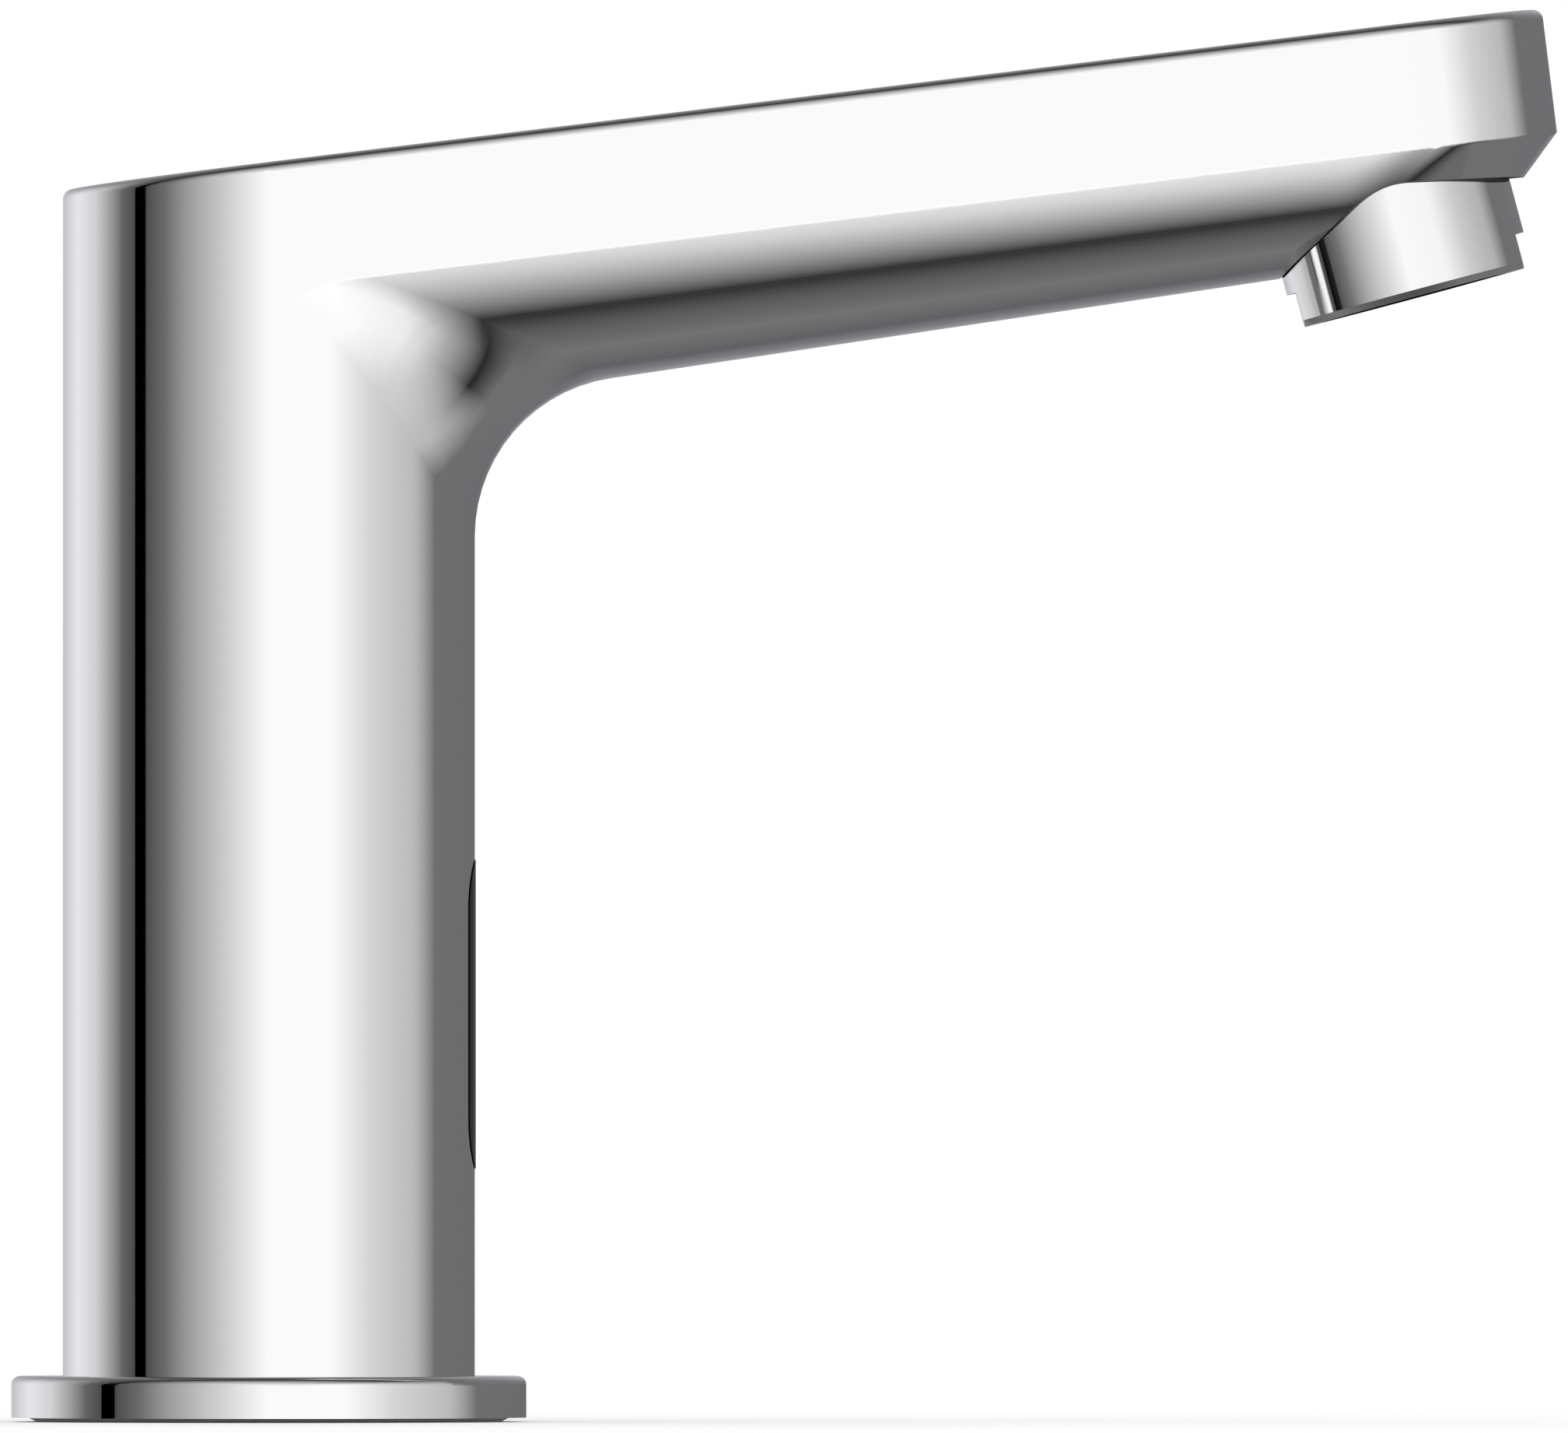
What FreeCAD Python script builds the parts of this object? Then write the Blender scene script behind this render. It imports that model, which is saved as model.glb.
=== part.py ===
"""Deck-mounted infrared sensor tap: a chromed brass column with a rising, tapered spout.

Origin: the column's axis where the tap stands on the deck. +X runs along the spout, +Z is up, and the
tap is symmetric about the XZ plane. All lengths are in millimetres. Threads are drawn plain, at their
nominal diameter.
"""
import FreeCAD
import Part
import math
import os
from FreeCAD import Placement, Rotation, Vector

os.makedirs("parts", exist_ok=True)

# ---------------------------------------------------------------- driving dimensions
# Outer form of the body
column_radius = 20.0
head_top_height = 121.96          # the sloping top, measured on the column's axis
head_slope = 7.0                  # degrees, rise of the top and of the band below it
band_thickness = 12.05            # flat side band, measured square to the slope
spout_reach = 125.05              # column axis to the front of the head, at the band's lower edge
side_taper = 2.6                  # degrees, each side of the head
keel_drop = 25.62                 # underside's mid line below the top, carried back to the column's axis
keel_slope = 8.44                 # degrees
elbow_radius = 15.5               # inside corner between column and spout
top_edge_round = 1.0
chin_slope = 47.0                 # degrees from the band, of the bevel round the head's front
chin_spread = 66.0                # degrees either side of straight ahead that the bevel goes round
belly_side_over = 0.4             # the arched underside is drawn this much past the side walls
belly_end_over = 7.0              # and this much past the front
body_wall = 3.0

# Notch in the underside for the outlet
notch_start_back = 26.75          # behind the head's front, where the notch leaves the keel
notch_rise = 45.0                 # degrees
notch_roof_back = 4.6             # a point on the notch's roof, at the chin: behind the front
notch_roof_drop = 16.03           # and below the sloping top
notch_roof_slope = 3.2            # degrees
notch_round = 10.0

# Foot: flange, seal and base plate
flange_radius = 25.0
flange_top = 4.45
flange_edge_round = 0.85
flange_floor = 1.2                # the ledge that the column stands on
flange_gap = 0.12                 # round the column
seal_show = 0.4                   # the seal's edge that shows under the flange
seal_depth = 1.5
seal_inset = 1.65                 # inside the flange's edge
seal_bevel = 0.8
plate_thickness = 6.0
plate_lift = 0.3                  # the plate's rim clears the deck; its hub bears on it
hub_radius = 6.6
hub_rise = 6.0                    # raised block on top of the plate
stud_radius = 4.0                 # M8 fixing stud
stud_length = 10.0                # thread in the hub
inlet_offset = 10.5               # behind the axis
inlet_thread_radius = 5.0         # M10 x 1 hose tail
inlet_thread_length = 8.0
cable_offset = 12.0               # in front of the axis
cable_hole_radius = 3.5
cable_radius = 2.25
grommet_flange = 1.1
base_screw_radius = 1.5           # M3
base_screw_head_radius = 2.75
base_screw_head_height = 3.0
base_screw_socket = 2.5           # hexagon key, across flats
base_screw_length = 12.0
base_screw_inset = 4.4            # screw centres inside the column's bore
base_screw_front_angle = 50.0     # degrees from +X
base_screw_rear_angle = 120.0
boss_radius = 3.2
boss_height = 12.0
tie_rod_radius = 2.0
tie_rod_offset = 13.2             # either side of the axis
tie_rod_grip = 5.0                # thread length at each end

# Inlet riser with strainer and check valve
riser_radius = 5.5
riser_bore = 4.0
riser_lower_bore = 3.4
riser_socket_depth = 4.0
riser_top_grip = 3.0
strainer_radius = 2.7
strainer_wall = 0.5
strainer_height = 8.0
strainer_slot = 0.8
strainer_slot_low = 2.0           # above the riser's foot
strainer_slot_pairs = 6
check_level = 28.0                # where the check valve's body stands in the riser
check_body_height = 16.0
check_body_bore = 3.3
check_seat_height = 4.0
check_seat_bore = 1.9
poppet_radius = 2.8
poppet_head_height = 1.4
poppet_stem_radius = 1.0
poppet_travel = 2.2
check_guide_height = 1.8
check_guide_ways = 6
check_spring_radius = 2.0
check_spring_wire = 0.3
check_spring_turns = 6

# Solenoid valve
valve_drop = 59.96                # underside of the valve body below the head's top
valve_height = 14.0               # valve body, up to the diaphragm
valve_gap = 0.3                   # between the valve and the column's bore
valve_offset = 3.0                # valve seat and coil sit this far behind the axis
seat_radius = 4.2
seat_bore = 3.0
chamber_radius = 8.6
chamber_depth = 5.2
port_radius = 2.0                 # drilled ways in the valve body
port_height = 6.0                 # cross drilling above the valve's underside
port_step = 0.8                   # the upright ways and the tube's seat pass the cross drilling by this
diaphragm_radius = 9.4
diaphragm_thickness = 1.2
insert_radius = 5.4
insert_height = 2.0
pilot_bore = 0.6
pilot_nipple_radius = 1.5
pilot_nipple_height = 0.4
bonnet_height = 6.2
bonnet_neck_height = 3.0
bonnet_neck_radius = 6.4
bonnet_chamber_radius = 8.4
bonnet_chamber_height = 4.0
bonnet_screw_circle = 12.1
bonnet_screw_angle = 50.0         # degrees from the X axis, four alike
bonnet_screw_radius = 1.25        # M2.5
bonnet_screw_head_radius = 2.25
bonnet_screw_head_height = 2.5
bonnet_screw_length = 12.0
bonnet_screw_socket = 2.0
core_tube_radius = 5.0
core_tube_bore = 4.05
plunger_height = 11.0
plunger_nose_radius = 1.9
plunger_nose_height = 3.1
plunger_pad_radius = 1.2
plunger_pad_height = 1.0
plunger_travel = 1.6
diaphragm_lift = 1.2
plunger_spring_radius = 1.8
plunger_spring_wire = 0.3
plunger_spring_turns = 7
plunger_spring_bore = 2.4
plunger_spring_depth = 7.0
coil_radius = 9.4
coil_height = 16.0
bobbin_wall = 1.0
yoke_thickness = 1.5
yoke_half_width = 7.0
core_stud_radius = 2.5
core_stud_height = 3.3
nut_height = 2.8
nut_across_flats = 8.0
nut_collar_height = 0.9           # the nut's round flange

# Water tube to the spout
tube_radius = 4.0
tube_bore = 3.0
tube_inset = 5.5                  # tube's axis inside the column's bore, at the front
tube_bend = 12.0
tube_depth = 7.97                 # tube's axis below the sloping top, square to it
cavity_end_back = 37.05           # the spout's hollow ends this far behind its front
tube_grip = 6.0                   # length of tube held in the spout's socket
passage_radius = 3.0
passage_length = 11.0
o_ring_wire = 0.5                 # radius of every O-ring's cord

# Aerator, measured along its own axis from its lower face
aerator_back = 13.85              # behind the head's front
aerator_drop = 26.51              # below the sloping top
aerator_tilt = 15.0               # degrees, the stream leans forwards
collar_radius = 11.9
collar_bore = 10.3
collar_lip_bore = 9.3
collar_lip = 1.2
collar_length = 9.0
collar_across_flats = 22.0
collar_flat_length = 3.4
collar_bevel = 0.6
aerator_thread_radius = 12.0      # M24 x 1
aerator_thread_length = 3.5
pocket_gap = 0.25                 # round the collar
washer_thickness = 2.0
washer_bore = 8.6
upper_chamber_height = 4.0
grille_thickness = 2.4
grille_pitch = 2.6
grille_hole = 1.05
screen_thickness = 0.3
screen_gap = 1.0
mixer_height = 3.2
mixer_hole = 0.8
regulator_height = 1.8
regulator_ring_radius = 3.2
regulator_holes = 12

# Sensor, in the front of the column
window_height = 30.1
window_width = 9.3
window_below_valve = 22.45        # window's middle below the valve body
window_proud = 0.1
window_gap = 0.05
window_inset = 1.0                # its rear face is this deep in the wall
lip_height = 0.7
gasket_thickness = 0.3
ledge_width = 0.85
capsule_depth = 11.0              # from the column's face to the capsule's rear
capsule_wall = 0.8
post_radius = 1.9
post_height = 5.0
post_cap = 0.5                    # solid end of each post
board_thickness = 0.8
led_radius = 1.5
led_body = 1.9                    # straight part below the dome
led_spacing = 13.0
status_led_size = 1.6
lead_radius = 1.3
bridge_width = 8.0
bridge_thickness = 1.6
bridge_foot = 2.4
bridge_screw_radius = 1.0         # M2
bridge_screw_head_radius = 1.9
bridge_screw_head_height = 1.2
bridge_screw_length = 5.0

# Clearances
fit = 0.05                        # radial, between parts that slide together or screw in
touch = 0.02                      # between faces that meet but belong to different bodies
hole_margin = 0.4                 # least material between a hole and the rim of its disc
hole_run_out = 1.0                # screw holes go this far past the screw's tip
cut_over = 1.0                    # how far a short cut reaches past the face it opens
far = 60.0                        # how far the large cutting shapes reach beyond the body
near = 0.01                       # places closer than this count as the same
merge = 0.001                     # faces closer than this are joined as one

# ---------------------------------------------------------------- derived values
up = Vector(0, 0, 1)
slope_rad = math.radians(head_slope)
taper_sin = math.sin(math.radians(side_taper))
taper_cos = math.cos(math.radians(side_taper))
rim_drop = band_thickness / math.cos(slope_rad)
keel_height = head_top_height - keel_drop
bore_radius = column_radius - body_wall
column_foot = seal_depth + flange_floor
foot_bore = bore_radius + fit
plate_radius = bore_radius - fit
seal_outer = flange_radius - seal_inset
base_screw_circle = bore_radius - base_screw_inset
plate_top = plate_lift + plate_thickness
hub_top = plate_top + hub_rise
base_screw_low = 2 * plate_lift
base_screw_seat = base_screw_low + base_screw_head_height
base_screw_tip = base_screw_seat + base_screw_length
riser_foot = hub_top - riser_socket_depth
valve_level = head_top_height - valve_drop
riser_top = valve_level + riser_top_grip
valve_top = valve_level + valve_height
bonnet_top = valve_top + bonnet_height
bonnet_screw_tip = bonnet_top - bonnet_screw_length
tube_foot = valve_level + port_height + port_radius + port_step
tube_offset = bore_radius - tube_inset
tube_ring_level = (tube_foot + valve_top) / 2
yoke_low = bonnet_top + bonnet_neck_height
coil_low = yoke_low + yoke_thickness
yoke_high = coil_low + coil_height + yoke_thickness
insert_top = valve_top + touch + insert_height + pilot_nipple_height
plunger_low = insert_top + touch
plunger_shoulder = plunger_low + plunger_nose_height
plunger_top = plunger_shoulder + plunger_height
core_low = plunger_top + plunger_travel + touch
plunger_radius = core_tube_bore - fit
check_seat_top = check_level + check_seat_height
check_guide_low = check_level + check_body_height - check_guide_height
poppet_top = check_seat_top + touch + poppet_head_height
tube_drop = tube_depth / math.cos(slope_rad)
cavity_end_x = spout_reach - cavity_end_back
aerator_x = spout_reach - aerator_back
aerator_top = collar_length + aerator_thread_length
pocket_radius = collar_radius + pocket_gap
window_centre_z = valve_level - window_below_valve
window_back = column_radius - window_inset
gasket_back = window_back - lip_height - gasket_thickness
window_face = column_radius + window_proud
neck_width = window_width - 2 * (ledge_width + window_gap)
neck_height = window_height - 2 * (ledge_width + window_gap)
slab_width = window_width - 2 * window_gap
slab_height = window_height - 2 * window_gap
post_offset = neck_height / 2 - post_radius - capsule_wall / 2
capsule_back = column_radius - capsule_depth
board_back = capsule_back + post_height
board_front = board_back + board_thickness
bridge_back = capsule_back - bridge_thickness


def top_z(x):
    """Height of the sloping top at x."""
    return head_top_height + math.tan(slope_rad) * x


def rim_z(x):
    """Height of the band's lower edge at x."""
    return top_z(x) - rim_drop


def keel_z(x):
    """Height of the underside's mid line at x."""
    return keel_height + math.tan(math.radians(keel_slope)) * x


def half_width(x):
    """Half the head's width at x, on the flat side walls that are tangent to the column."""
    return (column_radius - x * taper_sin) / taper_cos


def front_circle(z):
    """Centre and radius of the circle that rounds the head's front at height z."""
    front = spout_reach - (z - rim_z(spout_reach)) * math.tan(slope_rad)
    radius = (column_radius - front * taper_sin) / (1 - taper_sin)
    return front - radius, radius


# ---------------------------------------------------------------- shape helpers
def cylinder(radius, low, high, x=0.0, y=0.0):
    """Upright cylinder between two heights."""
    return Part.makeCylinder(radius, high - low, Vector(x, y, low))


def ring(outer, inner, low, high, x=0.0, y=0.0):
    """Upright tube between two heights."""
    return cylinder(outer, low, high, x, y).cut(cylinder(inner, low, high, x, y))


def box(x_low, x_high, y_half, z_low, z_high):
    """Block that is centred on the XZ plane."""
    size = (x_high - x_low, 2 * y_half, z_high - z_low)
    return Part.makeBox(*size, Vector(x_low, -y_half, z_low))


def rod_x(radius, x_low, x_high, z, y=0.0):
    """Cylinder along X."""
    return Part.makeCylinder(radius, x_high - x_low, Vector(x_low, y, z), Vector(1, 0, 0))


def hexagon(across_flats, low, high, x=0.0, y=0.0):
    """Upright six-sided prism."""
    corner = across_flats / 2 / math.cos(math.pi / 6)
    points = []
    for step in range(7):
        angle = step * math.pi / 3
        points.append(Vector(x + corner * math.cos(angle), y + corner * math.sin(angle), low))
    return Part.Face(Part.makePolygon(points)).extrude(up * (high - low))


def torus(ring_radius, wire_radius, z, x=0.0, y=0.0):
    """Level O-ring round a vertical axis."""
    return Part.makeTorus(ring_radius, wire_radius, Vector(x, y, z), up)


def revolve(points):
    """Solid of revolution about Z from a closed outline of (radius, height) pairs."""
    outline = [Vector(radius, 0, height) for radius, height in points]
    outline.append(outline[0])
    return Part.Face(Part.makePolygon(outline)).revolve(Vector(0, 0, 0), up, 360)


def stadium(width, height, x_low, x_high, z):
    """Prism along X with an upright slot-shaped section."""
    radius = width / 2
    straight = height - width
    middle = box(x_low, x_high, radius, z - straight / 2, z + straight / 2)
    low_end = rod_x(radius, x_low, x_high, z - straight / 2)
    high_end = rod_x(radius, x_low, x_high, z + straight / 2)
    return middle.fuse([low_end, high_end]).removeSplitter()


def spring(radius, wire, low, high, turns, x=0.0, y=0.0):
    """Compression spring whose end turns touch the two given heights."""
    height = high - low - 2 * wire
    helix = Part.makeHelix(height / turns, height, radius)
    start = helix.Edges[0].valueAt(helix.Edges[0].FirstParameter)
    tangent = helix.Edges[0].tangentAt(helix.Edges[0].FirstParameter)
    profile = Part.Wire([Part.makeCircle(wire, start, tangent)])
    coil = Part.Wire(helix.Edges).makePipeShell([profile], True, True)
    coil.translate(Vector(x, y, low + wire))
    return coil


def slope_frame(shape, x, z):
    """Turns a shape drawn level at the origin to stand square on the head's slope at (x, z)."""
    shape.Placement = Placement(Vector(x, 0, z), Rotation(Vector(0, 1, 0), -head_slope))
    return shape


def aerator_frame(shape):
    """Moves a shape drawn upright at the origin onto the aerator's leaning axis."""
    lean = Rotation(Vector(0, 1, 0), -aerator_tilt)
    shape.Placement = Placement(Vector(aerator_x, 0, top_z(aerator_x) - aerator_drop), lean)
    return shape


def edges_where(shape, test):
    """Edges of a shape whose middle point passes a test."""
    return [edge for edge in shape.Edges if test(middle_of(edge))]


def middle_of(edge):
    """Point half way along an edge's parameter range."""
    return edge.valueAt((edge.FirstParameter + edge.LastParameter) / 2)


def group(solids):
    """Several separate solids that share one node."""
    return Part.makeCompound(solids)


# ---------------------------------------------------------------- body: outer form
def plan_wire(z):
    """Outline of the head seen from above, at height z: column arc, two tapered sides, round front."""
    centre, radius = front_circle(z)
    left = Vector(column_radius * taper_sin, column_radius * taper_cos, z)
    right = Vector(left.x, -left.y, z)
    front_left = Vector(centre + radius * taper_sin, radius * taper_cos, z)
    front_right = Vector(front_left.x, -front_left.y, z)
    return Part.Wire([
        Part.Arc(right, Vector(-column_radius, 0, z), left).toShape(),
        Part.makeLine(left, front_left),
        Part.Arc(front_left, Vector(centre + radius, 0, z), front_right).toShape(),
        Part.makeLine(front_right, right),
    ])


def belly_section(x, inset=0.0, side_over=0.0):
    """Section across the spout at x: an arc from rim to rim through the keel, open to far above."""
    half = half_width(x) - inset
    keel = keel_z(x) + inset
    depth = rim_z(x) - keel
    radius = (half ** 2 + depth ** 2) / (2 * depth)
    turn = math.atan2(half, radius - depth) + side_over / radius
    side = radius * math.sin(turn)
    side_z = keel + radius - radius * math.cos(turn)
    high = head_top_height + far
    left = Vector(x, -side, side_z)
    right = Vector(x, side, side_z)
    return Part.Wire([
        Part.Arc(left, Vector(x, 0, keel), right).toShape(),
        Part.makeLine(right, Vector(x, side, high)),
        Part.makeLine(Vector(x, side, high), Vector(x, -side, high)),
        Part.makeLine(Vector(x, -side, high), left),
    ])


def above_slope(height_at_axis):
    """Everything above a plane that is parallel to the head's top."""
    size = spout_reach + 2 * far
    block = Part.makeBox(size, size, 2 * far, Vector(-far, -size / 2, 0))
    return slope_frame(block, 0, height_at_axis)


def chin_cutter():
    """What is cut off below the rim at the head's front, to leave the bevel round the chin."""
    radius = front_circle(rim_z(spout_reach))[1]
    grade = 1 / math.tan(math.radians(chin_slope))
    spread = math.radians(chin_spread)
    reach = 2 * radius
    high = cut_over
    low = -band_thickness
    wires = []
    for level in (high, low):
        size = radius + grade * level
        on_left = Vector(size * math.cos(spread), size * math.sin(spread), level)
        back_left = on_left + Vector(-math.sin(spread), math.cos(spread), 0) * reach
        on_right = Vector(on_left.x, -on_left.y, level)
        back_right = Vector(back_left.x, -back_left.y, level)
        wires.append(Part.Wire([
            Part.makeLine(back_left, on_left),
            Part.Arc(on_left, Vector(size, 0, level), on_right).toShape(),
            Part.makeLine(on_right, back_right),
            Part.makeLine(back_right, back_left),
        ]))
    kept = Part.makeLoft(wires, True, True)
    back = reach * math.sin(spread) - (radius + grade * high) * math.cos(spread)
    block = Part.makeBox(back + 2 * radius, 4 * radius, high - low, Vector(-back, -2 * radius, low))
    centre_x = spout_reach - radius * math.cos(slope_rad)
    return slope_frame(block.cut(kept), centre_x, rim_z(centre_x))


def notch_cutter():
    """What is cut out of the underside for the outlet, as one profile drawn across the spout."""
    rise = math.tan(math.radians(notch_rise))
    roof = math.tan(math.radians(notch_roof_slope))
    start_x = spout_reach - notch_start_back
    start_z = keel_z(start_x)
    roof_x = spout_reach - notch_roof_back
    roof_z = top_z(roof_x) - notch_roof_drop
    corner_x = (roof_z - roof * roof_x - start_z + rise * start_x) / (rise - roof)
    corner_z = start_z + rise * (corner_x - start_x)
    start = Vector(start_x - far / rise, -far, start_z - far)
    corner = Vector(corner_x, -far, corner_z)
    end = Vector(corner_x + far, -far, corner_z + roof * far)
    below = Vector(end.x, -far, start.z)
    prism = Part.Face(Part.makePolygon([start, corner, end, below, start])).extrude(Vector(0, 2 * far, 0))
    inner = edges_where(prism, lambda p: abs(p.x - corner_x) < near and abs(p.z - corner_z) < near)
    return prism.makeFillet(notch_round, inner)


def outer_form():
    """Column and head as one solid, before it is hollowed."""
    low = column_foot
    high = head_top_height + far
    plan = Part.makeLoft([plan_wire(low), plan_wire(high)], True, True)
    sections = [belly_section(x, side_over=belly_side_over) for x in (0.0, spout_reach + belly_end_over)]
    over_belly = Part.makeLoft(sections, True, True)
    column = cylinder(column_radius, low, high)
    body = column.fuse([plan.common(over_belly)], merge).removeSplitter()
    corner = edges_where(body, lambda p: abs(math.hypot(p.x, p.y) - column_radius) < near
                         and p.x > body_wall and keel_height < p.z < rim_z(column_radius))
    body = body.makeFillet(elbow_radius, corner)
    body = body.cut(above_slope(head_top_height))
    body = body.cut(chin_cutter())
    rim = edges_where(body, lambda p: abs(p.z - top_z(p.x)) < near)
    body = body.makeFillet(top_edge_round, rim)
    return body.cut(notch_cutter())


# ---------------------------------------------------------------- body: hollows
def tube_axis_z(x):
    """Height of the water tube's axis at x, where it runs along the spout."""
    return top_z(x) - tube_drop


def along_spout(radius, x_low, x_high):
    """Cylinder on the water tube's axis between two distances along X."""
    start = Vector(x_low, 0, tube_axis_z(x_low))
    run = Vector(x_high, 0, tube_axis_z(x_high)) - start
    return Part.makeCylinder(radius, run.Length, start, run)


def base_screw_places():
    """Centres of the screws that hold the base plate in the column."""
    places = []
    front, rear = base_screw_front_angle, base_screw_rear_angle
    for angle in (front, rear, -rear, -front):
        turn = math.radians(angle)
        places.append((base_screw_circle * math.cos(turn), base_screw_circle * math.sin(turn), angle))
    return places


def body_hollow():
    """Column bore and spout hollow, one wall inside the outer form."""
    bore = cylinder(bore_radius, column_foot, head_top_height + far)
    spout = Part.makeLoft([belly_section(x, inset=body_wall) for x in (0.0, cavity_end_x)], True, True)
    hollow = bore.fuse(spout)
    return hollow.cut(above_slope(head_top_height - body_wall / math.cos(slope_rad)))


def screw_boss(x, y, angle):
    """Boss inside the column for one base screw, joined to the wall."""
    low = plate_top
    boss = cylinder(boss_radius, low, low + boss_height, x, y)
    rib = Part.makeBox(column_radius - body_wall / 2 - base_screw_circle, 2 * boss_radius, boss_height,
                       Vector(base_screw_circle, -boss_radius, low))
    rib.rotate(Vector(0, 0, 0), up, angle)
    hole = cylinder(base_screw_radius + fit, low, base_screw_tip + hole_run_out, x, y)
    return boss.fuse(rib).cut(hole)


def make_tap_body():
    body = outer_form().cut(body_hollow())
    for x, y, angle in base_screw_places():
        body = body.fuse(screw_boss(x, y, angle))
    socket_end = cavity_end_x + tube_grip
    groove_x = cavity_end_x + tube_grip / 2
    washer_top = aerator_top + washer_thickness
    cuts = [
        along_spout(tube_radius + fit, cavity_end_x - body_wall, socket_end),
        along_spout(passage_radius, socket_end, socket_end + passage_length),
        along_spout(tube_radius + 2 * o_ring_wire, groove_x - o_ring_wire, groove_x + o_ring_wire),
        aerator_frame(cylinder(pocket_radius, -far / 2, collar_length)),
        aerator_frame(cylinder(aerator_thread_radius, collar_length, washer_top)),
        aerator_frame(cylinder(washer_bore, aerator_top, washer_top + upper_chamber_height)),
        stadium(window_width, window_height, gasket_back, column_radius + cut_over, window_centre_z),
        stadium(window_width - 2 * ledge_width, window_height - 2 * ledge_width,
                bore_radius / 2, column_radius, window_centre_z),
    ]
    return body.cut(cuts)


# ---------------------------------------------------------------- foot
def make_base_flange():
    outline = [
        (foot_bore, seal_depth), (seal_outer + fit, seal_depth), (seal_outer + fit, seal_show),
        (flange_radius, seal_show), (flange_radius, flange_top), (column_radius + flange_gap, flange_top),
        (column_radius + flange_gap, column_foot), (foot_bore, column_foot),
    ]
    flange = revolve(outline)
    rim = edges_where(flange, lambda p: abs(p.z - flange_top) < near
                      and math.hypot(p.x, p.y) > flange_radius - near)
    return flange.makeFillet(flange_edge_round, rim)


def make_base_seal():
    outline = [
        (foot_bore, 0), (seal_outer - seal_bevel, 0), (seal_outer, seal_show),
        (seal_outer, seal_depth), (foot_bore, seal_depth),
    ]
    return revolve(outline)


def make_base_plate():
    """Brass plate with the stud thread in its hub, the inlet thread behind and the cable hole in front."""
    plate = cylinder(plate_radius, plate_lift, plate_top)
    block = cylinder(hub_radius, plate_lift, hub_top, -inlet_offset)
    block = block.fuse(box(-inlet_offset, 0, hub_radius, plate_lift, hub_top))
    block = block.fuse(cylinder(hub_radius, 0, hub_top))
    plate = plate.fuse(block.common(cylinder(plate_radius, 0, hub_top)))
    cuts = [
        cylinder(stud_radius, 0, stud_length),
        cylinder(inlet_thread_radius, 0, plate_lift + inlet_thread_length, -inlet_offset),
        cylinder(riser_radius + fit, riser_foot, hub_top, -inlet_offset),
        cylinder(cable_hole_radius, plate_lift, plate_top, cable_offset),
    ]
    for x, y, _ in base_screw_places():
        cuts.append(cylinder(base_screw_radius + fit, plate_lift, plate_top, x, y))
        cuts.append(cylinder(base_screw_head_radius + fit, plate_lift, base_screw_seat, x, y))
    for y in (-tie_rod_offset, tie_rod_offset):
        cuts.append(cylinder(tie_rod_radius + fit, plate_top - tie_rod_grip, plate_top, 0, y))
    return plate.cut(cuts).removeSplitter()


def make_base_screws():
    screws = []
    socket_end = base_screw_low + base_screw_head_height / 2
    for x, y, _ in base_screw_places():
        head = cylinder(base_screw_head_radius, base_screw_low, base_screw_seat, x, y)
        head = head.cut(hexagon(base_screw_socket, base_screw_low, socket_end, x, y))
        screws.append(head.fuse(cylinder(base_screw_radius, base_screw_seat, base_screw_tip, x, y)))
    return group(screws)


def make_cable_grommet():
    top = plate_top + grommet_flange
    neck = cylinder(cable_hole_radius - touch, plate_lift, plate_top, cable_offset)
    flange = cylinder(cable_hole_radius + grommet_flange, plate_top, top, cable_offset)
    return neck.fuse(flange).cut(cylinder(cable_radius, plate_lift, top, cable_offset))


def make_tie_rods():
    """Two rods that carry the valve above the base plate."""
    low = plate_top - tie_rod_grip
    high = valve_level + tie_rod_grip
    return group([cylinder(tie_rod_radius, low, high, 0, y) for y in (-tie_rod_offset, tie_rod_offset)])


# ---------------------------------------------------------------- inlet riser and check valve
def riser_ring_levels():
    """Heights of the O-rings at the riser's two ends."""
    return riser_foot + riser_socket_depth / 2, valve_level + riser_top_grip / 2


def make_inlet_riser():
    x = -inlet_offset
    riser = cylinder(riser_radius, riser_foot, riser_top, x)
    riser = riser.cut(cylinder(riser_lower_bore, riser_foot, check_level, x))
    riser = riser.cut(cylinder(riser_bore, check_level, riser_top, x))
    for level in riser_ring_levels():
        groove = ring(riser_radius, riser_radius + fit - 2 * o_ring_wire, level - o_ring_wire,
                      level + o_ring_wire, x)
        riser = riser.cut(groove)
    return riser


def make_riser_o_rings():
    radius = riser_radius + fit - o_ring_wire
    return group([torus(radius, o_ring_wire, level, -inlet_offset) for level in riser_ring_levels()])


def make_inlet_strainer():
    """Slotted cup that keeps grit out of the valves."""
    x = -inlet_offset
    top = riser_foot + strainer_height
    cup = cylinder(strainer_radius, riser_foot, top, x)
    cup = cup.fuse(cylinder(riser_lower_bore - touch, riser_foot, riser_foot + 2 * strainer_wall, x))
    cup = cup.cut(cylinder(strainer_radius - strainer_wall, riser_foot, top - strainer_wall, x))
    slot_low = riser_foot + strainer_slot_low
    slot_high = top - 2 * strainer_wall
    reach = strainer_radius + cut_over
    for step in range(strainer_slot_pairs):
        slot = box(x - reach, x + reach, strainer_slot / 2, slot_low, slot_high)
        slot.rotate(Vector(x, 0, 0), up, step * 180 / strainer_slot_pairs)
        cup = cup.cut(slot)
    return cup


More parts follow.
